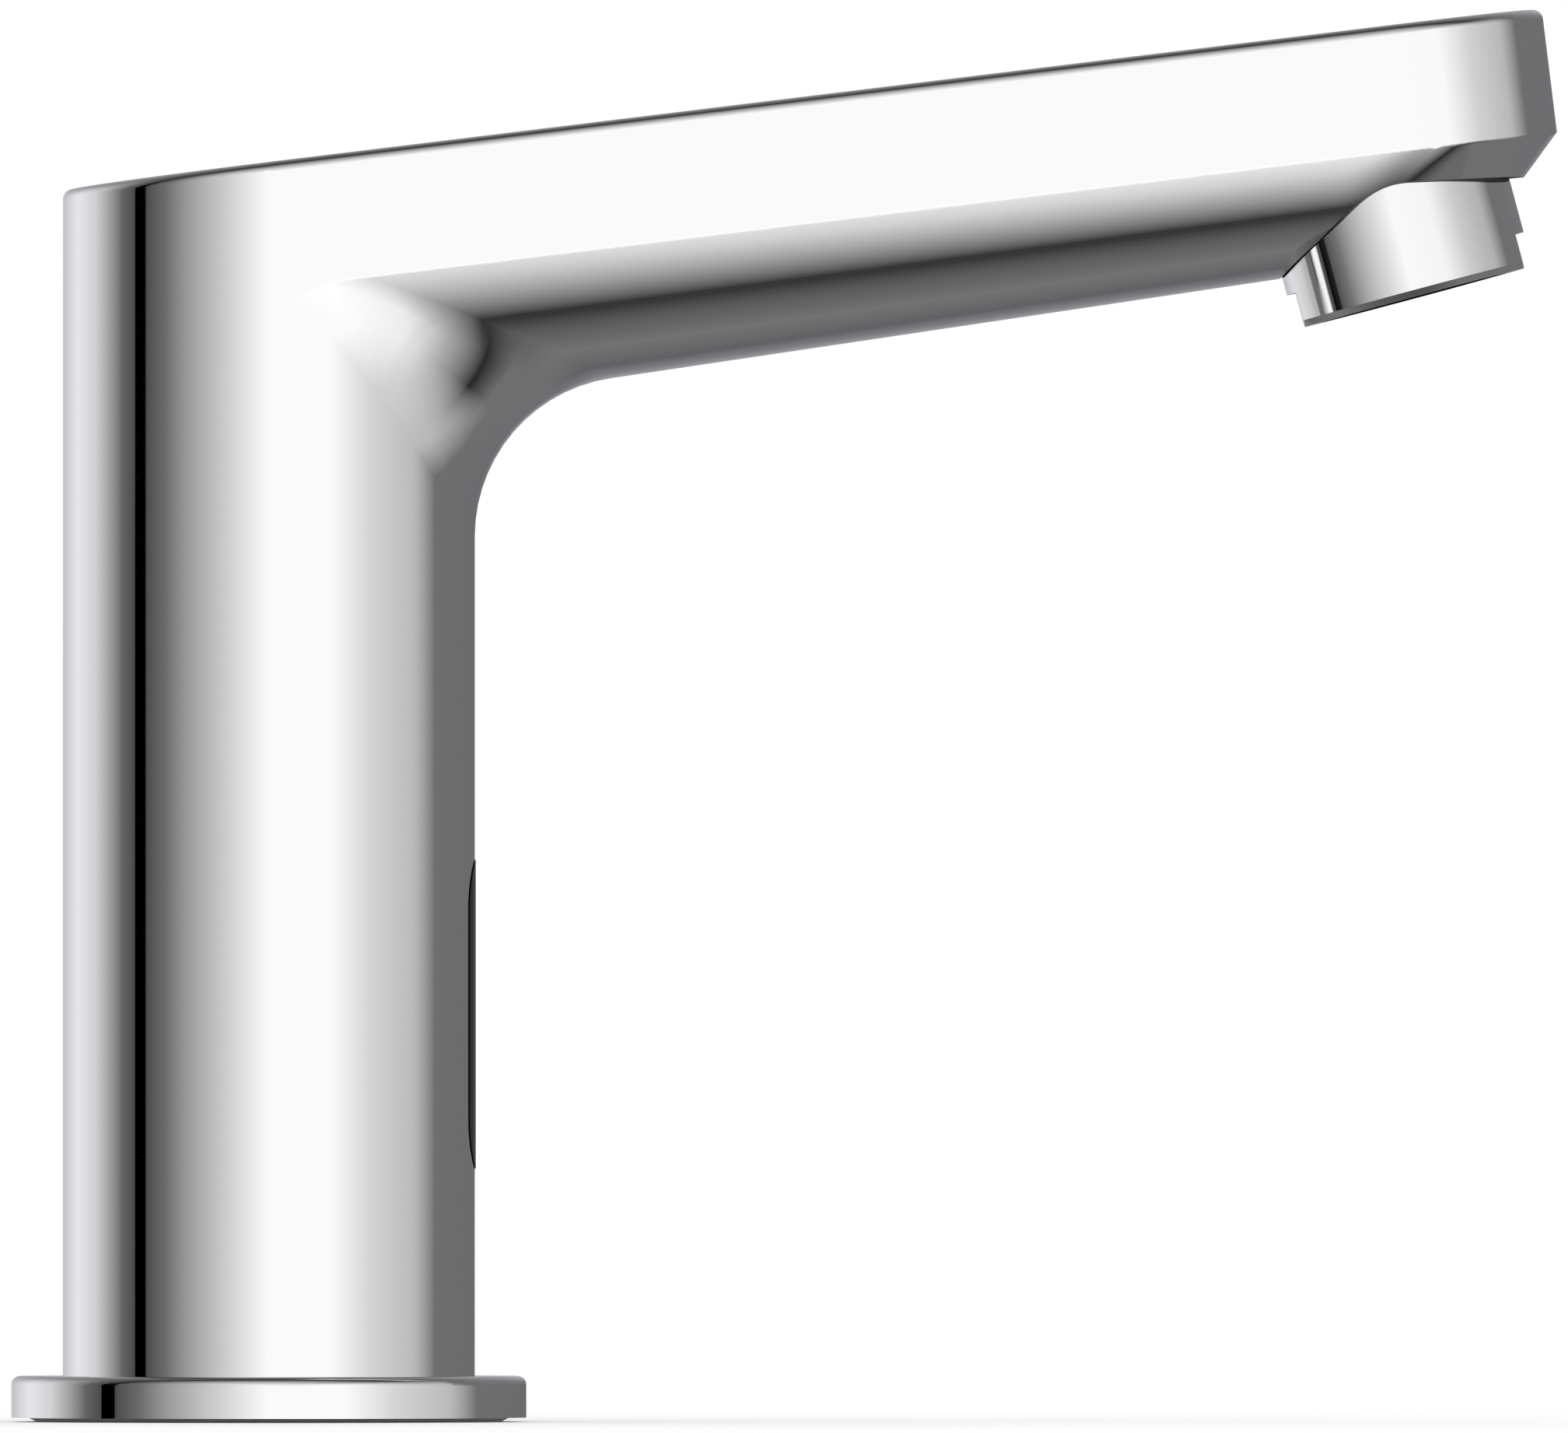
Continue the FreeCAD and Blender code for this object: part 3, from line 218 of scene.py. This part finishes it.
def elbow_spine():
    """Centres of the ball that rolls along the corner between column and belly."""
    turn = np.linspace(-SPINE_END, SPINE_END, SPINE_STEPS)
    low, high = np.zeros(SPINE_STEPS), np.full(SPINE_STEPS, SPINE_REACH)
    for _ in range(HALVINGS):
        x = (low + high) / 2
        point, normal = belly_point(x, turn)
        centre = point + ELBOW_RADIUS * normal
        beyond = np.hypot(centre[:, 0], centre[:, 1]) > COLUMN_RADIUS + ELBOW_RADIUS
        low, high = np.where(beyond, low, x), np.where(beyond, x, high)
    return centre


def elbow_face(p):
    spine = elbow_spine()
    start, run = spine[:-1], np.diff(spine, axis=0)
    best = np.full(len(p), np.inf)
    centre = np.zeros((len(p), 3))
    for first, step in zip(start, run):
        along = np.clip(((p - first) @ step) / (step @ step), 0, 1)
        place = first + along[:, None] * step
        apart = np.linalg.norm(place - p, axis=1)
        nearer = apart < best
        best = np.where(nearer, apart, best)
        centre[nearer] = place[nearer]
    return ELBOW_RADIUS - best, unit(centre - p)


def chin_face(p):
    shrink = math.sin(TAPER) / (1 - math.sin(TAPER))
    radius = COLUMN_RADIUS / (1 - math.sin(TAPER)) - REACH * shrink
    origin = REACH - radius * math.cos(HEAD_SLOPE)
    along = np.array([math.cos(HEAD_SLOPE), 0, math.sin(HEAD_SLOPE)])
    upward = np.array([-math.sin(HEAD_SLOPE), 0, math.cos(HEAD_SLOPE)])
    local = p - [origin, 0, rim_z(origin)]
    x, y, z = local @ along, local[:, 1], local @ upward
    turn = np.clip(np.arctan2(y, x), -CHIN_SPREAD, CHIN_SPREAD)
    grade = 1 / math.tan(CHIN_SLOPE)
    normal = unit(np.cos(turn)[:, None] * along + np.sin(turn)[:, None] * [0, 1, 0] - grade * upward)
    gap = x * np.cos(turn) + y * np.sin(turn) - radius - grade * z
    return gap / math.hypot(1, grade), normal


FACES = [column_face, wall_face, front_face, top_face, rounded(column_face), rounded(wall_face),
         rounded(front_face), belly_face, elbow_face, chin_face]
COLUMN, WALL, BELLY, ELBOW, CHIN = (FACES.index(face) for face in (column_face, wall_face, belly_face,
                                                                   elbow_face, chin_face))


def face_of(corners):
    """Which face each triangle lies on, or -1 for the inside and the outlet's notch."""
    flat = unit(np.cross(corners[:, 1] - corners[:, 0], corners[:, 2] - corners[:, 0]) + NO_AREA)
    best = np.full(len(corners), FACING)
    found = np.full(len(corners), -1)
    deep = top_face(corners.reshape(-1, 3))[0].reshape(-1, 3).max(1) < -2 * TOP_ROUND
    for index, face in enumerate(FACES):
        gap, normal = face(corners.reshape(-1, 3))
        wide = deep & (face in (column_face, wall_face, elbow_face))
        on = np.abs(gap.reshape(-1, 3)).max(1) < np.where(wide, ON_ELBOW, ON_FACE)
        agree = (unit(normal.reshape(-1, 3, 3).mean(1)) * flat).sum(1)
        better = on & (agree > best)
        best[better] = agree[better]
        found[better] = index
    return found


def longest_allowed(p):
    """Longest triangle side at each point."""
    by_chin = (np.abs(chin_face(p)[0]) < BLEND) & (p[:, 0] > REACH / 2) & (below_rim(p) > -RIM_LINE)
    by_elbow = (np.abs(p[:, 0] - CREASE_END) < CREASE_END) & (np.abs(below_crease(p)) < ELBOW_RADIUS)
    plain = np.where(by_chin | by_elbow, FINE, COARSE)
    rim = np.abs(below_crease(p) - RIM_LINE / 2) * RIM_GROWTH
    return np.where(p[:, 0] > 0, np.minimum(plain, np.maximum(rim, FINEST)), plain)


def refine(corners, labels, too_long):
    """Halves sides at their middles until none is too long, and keeps each triangle's label.

    Whether a side is too long depends on that side alone, so both triangles along it are split alike.
    """
    done, done_labels = [], []
    while len(corners):
        ends = np.roll(corners, -1, 1)
        middles = (corners + ends)[..., :3] / 2
        sides = np.linalg.norm((ends - corners)[..., :3], axis=2)
        sides[~too_long(middles.reshape(-1, 3), sides.ravel()).reshape(-1, 3)] = 0
        longest = sides.argmax(1)
        rows = np.arange(len(corners))
        a, b, c = (corners[rows, (longest + step) % 3] for step in range(3))
        middle = (a + b) / 2
        split = sides[rows, longest] > 0
        done.append(corners[~split])
        done_labels.append(labels[~split])
        halves = np.stack([a, middle, c], 1), np.stack([middle, b, c], 1)
        corners = np.concatenate([half[split] for half in halves])
        labels = np.tile(labels[split], 2)
    return np.concatenate(done), np.concatenate(done_labels)


def split_beside(points):
    """For triangles beside finer ones with these points: a side is too long where its middle is a point."""
    known = set(map(tuple, np.round(points, PLACES)))

    def too_long(middles, sides):
        return np.array([tuple(middle) in known for middle in np.round(middles, PLACES)])
    return too_long


def over_elbow(p):
    """Which points are under the band and above the line where the elbow's ball touches the column."""
    spine = elbow_spine()
    spine = spine[spine[:, 1] >= 0]
    turn = np.arctan2(spine[:, 1], spine[:, 0])
    line = np.interp(np.arctan2(np.abs(p[:, 1]), p[:, 0]), turn, spine[:, 2])
    return (p[:, 0] > 0) & (p[:, 2] > line) & (below_crease(p) > 0)


def side_normal(p):
    """Normal of the head's outline at each point: column, flat side or rounded front."""
    sides = column_face(p)[1], wall_face(p)[1], front_face(p)[1]
    start = COLUMN_RADIUS * math.sin(TAPER)
    flat = np.where(p[:, 0:1] < start, sides[0], sides[1])
    return np.where((p[:, 0:1] > REACH / 2) & (sides[2][:, 0:1] > math.sin(TAPER)), sides[2], flat)


def soften(normal, p, found):
    """Runs elbow into column, and belly and chin into each other, and rounds the band's lower edge."""
    use = np.isin(found, (COLUMN, WALL)) & over_elbow(p)
    normal[use] = elbow_face(p[use])[1]
    found = np.where(use, ELBOW, found)
    belly_gap, belly = belly_face(p)
    chin_gap, chin = chin_face(p)
    turn = np.sqrt(1 - np.clip((belly * chin).sum(1), -1, 1) ** 2) + NO_ANGLE
    for own, other, gap in ((BELLY, chin, chin_gap), (CHIN, belly, belly_gap)):
        near = np.clip(1 - np.abs(gap) / turn / BLEND, 0, 1)
        share = near ** 2 * (3 - 2 * near) / 2
        use = (found == own) & (p[:, 0] > REACH / 2)
        normal[use] = unit(normal + share[:, None] * (other - normal))[use]
    side = side_normal(p)
    share = np.clip(1 - below_crease(p) / RIM_LINE, 0, 1)
    use = np.isin(found, (BELLY, ELBOW, CHIN))
    normal[use] = unit(normal + share[:, None] * (side - normal))[use]
    use = np.isin(found, (COLUMN, WALL)) & (below_crease(p) < 0) & (top_face(p)[0] < -TOP_ROUND)
    normal[use] = side[use]
    return normal


def cad_triangles():
    """Corners of the CAD body's triangles, in millimetres, and the normals that it shows there."""
    source = nodes["tap_body"].data
    source.calc_loop_triangles()
    places = np.empty(len(source.vertices) * 3)
    source.vertices.foreach_get("co", places)
    normals = np.empty(len(source.loops) * 3)
    source.corner_normals.foreach_get("vector", normals)
    vertices, loops = np.empty((2, len(source.loop_triangles) * 3), int)
    source.loop_triangles.foreach_get("vertices", vertices)
    source.loop_triangles.foreach_get("loops", loops)
    corners = places.reshape(-1, 3)[vertices].reshape(-1, 3, 3) / MM
    return corners, normals.reshape(-1, 3)[loops].reshape(-1, 3, 3)


def face_normals(points, owner):
    """Normal at each point of the face that owns it, softened where faces run into each other."""
    normals = np.zeros_like(points)
    for index, face in enumerate(FACES):
        mine = owner == index
        if mine.any():
            normals[mine] = face(points[mine])[1]
    return soften(normals, points, owner)


def skin_mesh(points, normals, painted_outlet_shade):
    """Mesh of triangles, three points each, joined where their points meet."""
    places, index = np.unique(np.round(points, PLACES), axis=0, return_inverse=True)
    triangles = index.reshape(-1, 3)
    whole = (triangles != np.roll(triangles, 1, 1)).all(1)
    mesh = bpy.data.meshes.new("tap_skin")
    mesh.from_pydata(places * MM, [], triangles[whole])
    mesh.shade_smooth()
    mesh.normals_split_custom_set(normals.reshape(-1, 3, 3)[whole].reshape(-1, 3))
    mesh.attributes.new(PAINTED_OUTLET_SHADE, "BOOLEAN", "FACE").data.foreach_set("value", painted_outlet_shade[whole])
    return mesh


def make_skin():
    """The cast body's surface with finer triangles and each face's own normals."""
    corners, cad_normals = cad_triangles()
    found = face_of(corners)
    outside = found >= 0
    outer, owner = refine(corners[outside], found[outside], lambda p, sides: sides > longest_allowed(p))
    outer = outer.reshape(-1, 3)
    inner = np.concatenate([corners, cad_normals], 2)[~outside]
    inner = refine(inner, found[~outside], split_beside(outer))[0].reshape(-1, 6)
    points = np.concatenate([inner[:, :3], outer])
    normals = np.concatenate([unit(inner[:, 3:]), face_normals(outer, np.repeat(owner, 3))])
    # Faces inside the outlet get painted shade: a near-black material in place of the shade there.
    painted_outlet_shade = points.reshape(-1, 3, 3)[..., 0].min(1) > REACH / 2
    painted_outlet_shade[len(inner) // 3:] = False
    skin = bpy.data.objects.new("tap_skin", skin_mesh(points, normals, painted_outlet_shade))
    bpy.context.scene.collection.objects.link(skin)
    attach(skin, "tap")
    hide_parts("tap_body")
    return skin


# ---------------------------------------------------------------- springs
def make_springs():
    """The two coil springs, each copied onto its own mesh and attached to the tap."""
    springs = []
    for name, joint in (("check_spring", "check_valve_slide"), ("plunger_spring", "plunger_slide")):
        spring = bpy.data.objects.new(name + "_coil", nodes[name].data.copy())
        bpy.context.scene.collection.objects.link(spring)
        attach(spring, "tap")
        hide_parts(name)
        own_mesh(spring)
        springs.append(spring)
    return springs


# ---------------------------------------------------------------- node trees
CHROME = 0.93                        # how much light the chrome gives back
WHITE_POINT = 255                    # grey level of white on a screen
FARTHEST = 180                       # degrees from the front of the studio to its back
BUMP_DEPTH = 0.1 * MM


def shade(grey):
    """Light that the chrome turns into this grey level on a screen, by the screen's standard curve."""
    level = grey / WHITE_POINT
    linear = level / 12.92 if level < 0.04 else ((level + 0.055) / 1.055) ** 2.4
    return linear / CHROME


class Graph:
    """Short calls that add nodes to one tree."""

    def __init__(self, tree):
        self.tree = tree

    def node(self, kind, **settings):
        made = self.tree.nodes.new(kind)
        for name, value in settings.items():
            setattr(made, name, value)
        return made

    def link(self, source, target):
        if isinstance(source, (int, float)):
            target.default_value = source
        else:
            self.tree.links.new(source, target)

    def maths(self, operation, *values):
        made = self.node("ShaderNodeMath", operation=operation)
        for value, socket in zip(values, made.inputs):
            self.link(value, socket)
        return made.outputs[0]

    def mix(self, factor, low, high):
        made = self.node("ShaderNodeMix", data_type="RGBA")
        self.link(factor, made.inputs["Factor"])
        self.link(low, made.inputs[6])
        self.link(high, made.inputs[7])
        return made.outputs[2]

    def ramp(self, factor, stops):
        """Grey levels between the given stops, each an angle and a grey level."""
        made = self.node("ShaderNodeValToRGB")
        elements = made.color_ramp.elements
        for index, (degrees, grey) in enumerate(stops):
            place = degrees / FARTHEST
            stop = elements[index] if index < 2 else elements.new(place)
            if index < 2:
                stop.position = place
            stop.color = (*([shade(grey)] * 3), 1)
        self.link(factor, made.inputs[0])
        return made.outputs[0]

    def map_range(self, value, low, high):
        """0 below low, 1 above high, and straight between them."""
        made = self.node("ShaderNodeMapRange")
        for source, socket in zip((value, low, high), made.inputs):
            self.link(source, socket)
        return made.outputs[0]

    def colour(self, *levels):
        made = self.node("ShaderNodeRGB").outputs[0]
        made.default_value = (*levels, 1)
        return made

    def bump(self, height, strength):
        """Makes the material's surface as uneven as the height says."""
        made = self.node("ShaderNodeBump")
        made.inputs["Strength"].default_value = strength
        made.inputs["Distance"].default_value = BUMP_DEPTH
        self.link(height, made.inputs["Height"])
        self.link(made.outputs[0], self.tree.nodes["Principled BSDF"].inputs["Normal"])


# ---------------------------------------------------------------- materials
WAVE_RADIANS = 20                    # how far the wave texture turns in one unit at a scale of 1
RING_STRENGTH = 0.6


def material(name, colour, metallic=0.0, roughness=0.4, grain=0.0, grain_size=1.0, **sockets):
    """Principled material; grain gives it a fine uneven surface, its grains about grain_size mm wide."""
    made = bpy.data.materials.new(name)
    made.use_nodes = True
    graph = Graph(made.node_tree)
    shader = made.node_tree.nodes["Principled BSDF"]
    shader.inputs["Base Color"].default_value = (*colour, 1)
    shader.inputs["Metallic"].default_value = metallic
    shader.inputs["Roughness"].default_value = roughness
    for socket, value in sockets.items():
        shader.inputs[socket.replace("_", " ")].default_value = value
    if grain:
        noise = graph.node("ShaderNodeTexNoise")
        noise.inputs["Scale"].default_value = 1 / (grain_size * MM)
        graph.link(graph.node("ShaderNodeTexCoord").outputs["Object"], noise.inputs["Vector"])
        graph.bump(noise.outputs[0], grain)
    return made


def ringed(name, colour, pitch, roughness):
    """Metal with fine even rings along Z, as wound wire shows them, pitch mm apart."""
    made = material(name, colour, metallic=1.0, roughness=roughness)
    graph = Graph(made.node_tree)
    wave = graph.node("ShaderNodeTexWave", bands_direction="Z", wave_profile="SIN")
    wave.inputs["Scale"].default_value = 2 * math.pi / (WAVE_RADIANS * pitch * MM)
    graph.link(graph.node("ShaderNodeTexCoord").outputs["Object"], wave.inputs["Vector"])
    graph.bump(wave.outputs[1], RING_STRENGTH)
    return made


def dress(made, *pieces):
    """Gives pieces one material; a CAD node goes by its name."""
    for piece in pieces:
        slots = (nodes[piece] if isinstance(piece, str) else piece).data.materials
        slots.clear()
        slots.append(made)


def darken_outlet(skin):
    """Gives the faces inside the outlet a near-black material of their own: painted shade, standing in for
    the shade in the gap round the aerator.
    """
    # Near-black and rough: painted shade, not the colour of the metal inside the outlet.
    skin.data.materials.append(material(PAINTED_OUTLET_SHADE, (0.015, 0.015, 0.017), roughness=0.6, grain=0.2))
    painted_outlet_shade = np.empty(len(skin.data.polygons), bool)
    skin.data.attributes[PAINTED_OUTLET_SHADE].data.foreach_get("value", painted_outlet_shade)
    skin.data.polygons.foreach_set("material_index", painted_outlet_shade.astype(np.int32))


def dress_all(skin, springs):
    chrome = material("chrome", (CHROME, CHROME, CHROME), metallic=1.0, roughness=0.02)
    dress(chrome, skin, "tap_body", "base_flange", "aerator_housing")
    # Painted shade on the faces inside the outlet.
    darken_outlet(skin)
    dress(material("black_gloss", (0.002, 0.002, 0.002), roughness=0.06, Specular_IOR_Level=0.05),
          "sensor_window", "infrared_receiver")
    dress(material("seal_rubber", (0.38, 0.38, 0.39), roughness=0.5, grain=0.2, grain_size=0.3), "base_seal")
    dress(material("brass", (0.72, 0.55, 0.28), metallic=1.0, roughness=0.28, grain=0.1, grain_size=0.4),
          "base_plate", "inlet_riser")
    dress(material("steel", (0.62, 0.62, 0.63), metallic=1.0, roughness=0.25, grain=0.05, grain_size=0.3),
          "base_screws", "tie_rods", "inlet_strainer", "check_spring", "bonnet_screws", "core_tube",
          "fixed_core", "plunger", "plunger_spring", "coil_yoke", "coil_nut", "aerator_screens",
          "sensor_bridge", "bridge_screws", *springs)
    dress(material("copper", (0.72, 0.42, 0.27), metallic=1.0, roughness=0.25, grain=0.05, grain_size=0.5),
          "outlet_tube")
    dress(ringed("winding", (0.72, 0.38, 0.22), 0.25, 0.3), "coil_winding")
    dress(material("rubber", (0.03, 0.03, 0.03), roughness=0.6, grain=0.2, grain_size=0.3), "cable_grommet",
          "riser_o_rings", "diaphragm", "plunger_pad", "tube_o_rings", "regulator_o_ring", "aerator_washer",
          "sensor_gasket")
    dress(material("white_plastic", (0.82, 0.82, 0.80), roughness=0.4, grain=0.08, grain_size=0.5),
          "check_valve_body", "check_guide", "valve_body", "valve_bonnet", "aerator_mixer", "flow_regulator")
    dress(material("grey_plastic", (0.30, 0.31, 0.32), roughness=0.4, grain=0.08, grain_size=0.5),
          "check_poppet", "diaphragm_insert", "outlet_grille")
    dress(material("black_plastic", (0.03, 0.03, 0.03), roughness=0.42, grain=0.1, grain_size=0.5),
          "coil_bobbin", "sensor_housing")
    dress(material("circuit_board", (0.03, 0.20, 0.08), roughness=0.35, grain=0.1, grain_size=0.8,
                   Coat_Weight=0.5), "sensor_board")
    dress(material("clear_plastic", (0.85, 0.88, 0.92), roughness=0.05, IOR=1.5, Transmission_Weight=0.7),
          "infrared_emitter", "status_led")


# ---------------------------------------------------------------- studio
# The studio's walls, as grey levels by degrees from -Y, where the photographer stands: white there, falling
# off to a dark band beside and below the tap, a narrow black strip at the left, and mid-grey behind.
TO_RIGHT = [(0, 250), (35, 250), (60, 210), (90, 185), (108, 110), (180, 105)]
TO_LEFT = [(0, 250), (20, 210), (60, 105), (72.4, 75), (72.6, 0), (80.6, 0), (80.8, 75), (90, 100),
           (115, 210), (135, 230), (160, 195), (180, 195)]
BELOW = [(0, 250), (25, 255), (50, 200), (80, 45), (92, 85), (115, 115), (140, 95), (180, 165)]
CORNER = [(0, 250), (30, 255), (50, 235), (65, 170), (83, 40), (98, 110), (155, 110), (180, 170)]
ABOVE = [(0, 250), (20, 220), (77, 50), (100, 90), (180, 175)]
UPRIGHT_REACH = 1.65                 # how far the tones above and below reach round to the sides
CORNER_RISE, CORNER_END = 2.1, 0.8   # how soon CORNER holds alone between right and below, and until where
COOL = (0.985, 0.985, 1.045)         # tint of the far side of the studio
COOL_FROM, COOL_FULL = 0.55, 0.85    # where the tint starts and is full, as shares of the half turn
STRAIGHT_ON = 1e-6                   # keeps the direction straight to the front finite
SOFT_LIGHT = 1.15
FLOOR_HALF = 2.0                     # metres
FLOOR_PALE = 0.93                    # the floor's colour


def studio_tone(graph):
    """The tone of the studio's walls in each direction."""
    parts = graph.node("ShaderNodeSeparateXYZ")
    graph.link(graph.node("ShaderNodeTexCoord").outputs["Generated"], parts.inputs[0])
    x, y, z = parts.outputs
    away = graph.maths("DIVIDE", graph.maths("ARCCOSINE", graph.maths("MULTIPLY", y, -1.0)), math.pi)
    z_squared = graph.maths("MULTIPLY", z, z)
    across = graph.maths("ADD", graph.maths("MULTIPLY", x, x), z_squared)
    steep = graph.maths("DIVIDE", z_squared, graph.maths("ADD", across, STRAIGHT_ON))
    upright = graph.maths("MINIMUM", graph.maths("MULTIPLY", steep, UPRIGHT_REACH), 1.0)
    walls = TO_RIGHT, TO_LEFT, ABOVE, BELOW, CORNER
    right, left, above, below, corner = (graph.ramp(away, stops) for stops in walls)
    to_right = graph.maths("GREATER_THAN", x, 0.0)
    upward = graph.maths("GREATER_THAN", z, 0.0)
    tone = graph.mix(upright, graph.mix(to_right, left, right), graph.mix(upward, below, above))
    to_corner = graph.maths("MINIMUM", graph.maths("MULTIPLY", steep, CORNER_RISE), 1.0)
    past_corner = graph.map_range(steep, CORNER_END, 1.0)
    right_below = graph.mix(past_corner, graph.mix(to_corner, right, corner), below)
    in_corner = graph.maths("MULTIPLY", to_right, graph.maths("SUBTRACT", 1.0, upward))
    tone = graph.mix(in_corner, tone, right_below)
    tint = graph.node("ShaderNodeVectorMath", operation="MULTIPLY")
    graph.link(tone, tint.inputs[0])
    tint.inputs[1].default_value = COOL
    return graph.mix(graph.map_range(away, COOL_FROM, COOL_FULL), tone, tint.outputs[0])


def add_world():
    """White where it is looked at directly, the studio where metal mirrors it, and soft light elsewhere."""
    world = bpy.data.worlds.new("studio")
    bpy.context.scene.world = world
    world.use_nodes = True
    graph = Graph(world.node_tree)
    path = graph.node("ShaderNodeLightPath").outputs
    seen = graph.maths("MAXIMUM", path["Is Camera Ray"], path["Is Transmission Ray"])
    soft = graph.colour(SOFT_LIGHT, SOFT_LIGHT, SOFT_LIGHT)
    light = graph.mix(path["Is Glossy Ray"], soft, studio_tone(graph))
    shown = graph.mix(seen, light, graph.colour(1, 1, 1))
    graph.link(shown, world.node_tree.nodes["Background"].inputs["Color"])


def add_floor():
    """Plain pale floor under the tap: it takes the tap's soft shadow, and the chrome doesn't mirror it."""
    mesh = bpy.data.meshes.new("floor")
    corners = [(x * FLOOR_HALF, y * FLOOR_HALF, 0) for x, y in ((-1, -1), (1, -1), (1, 1), (-1, 1))]
    mesh.from_pydata(corners, [], [(0, 1, 2, 3)])
    floor = bpy.data.objects.new("floor", mesh)
    bpy.context.scene.collection.objects.link(floor)
    floor.data.materials.append(material("floor", (FLOOR_PALE, FLOOR_PALE, FLOOR_PALE), roughness=0.9))
    floor.visible_glossy = False


add_camera()
dress_all(make_skin(), make_springs())
add_floor()
add_world()

bpy.context.scene.view_settings.view_transform = "Standard"
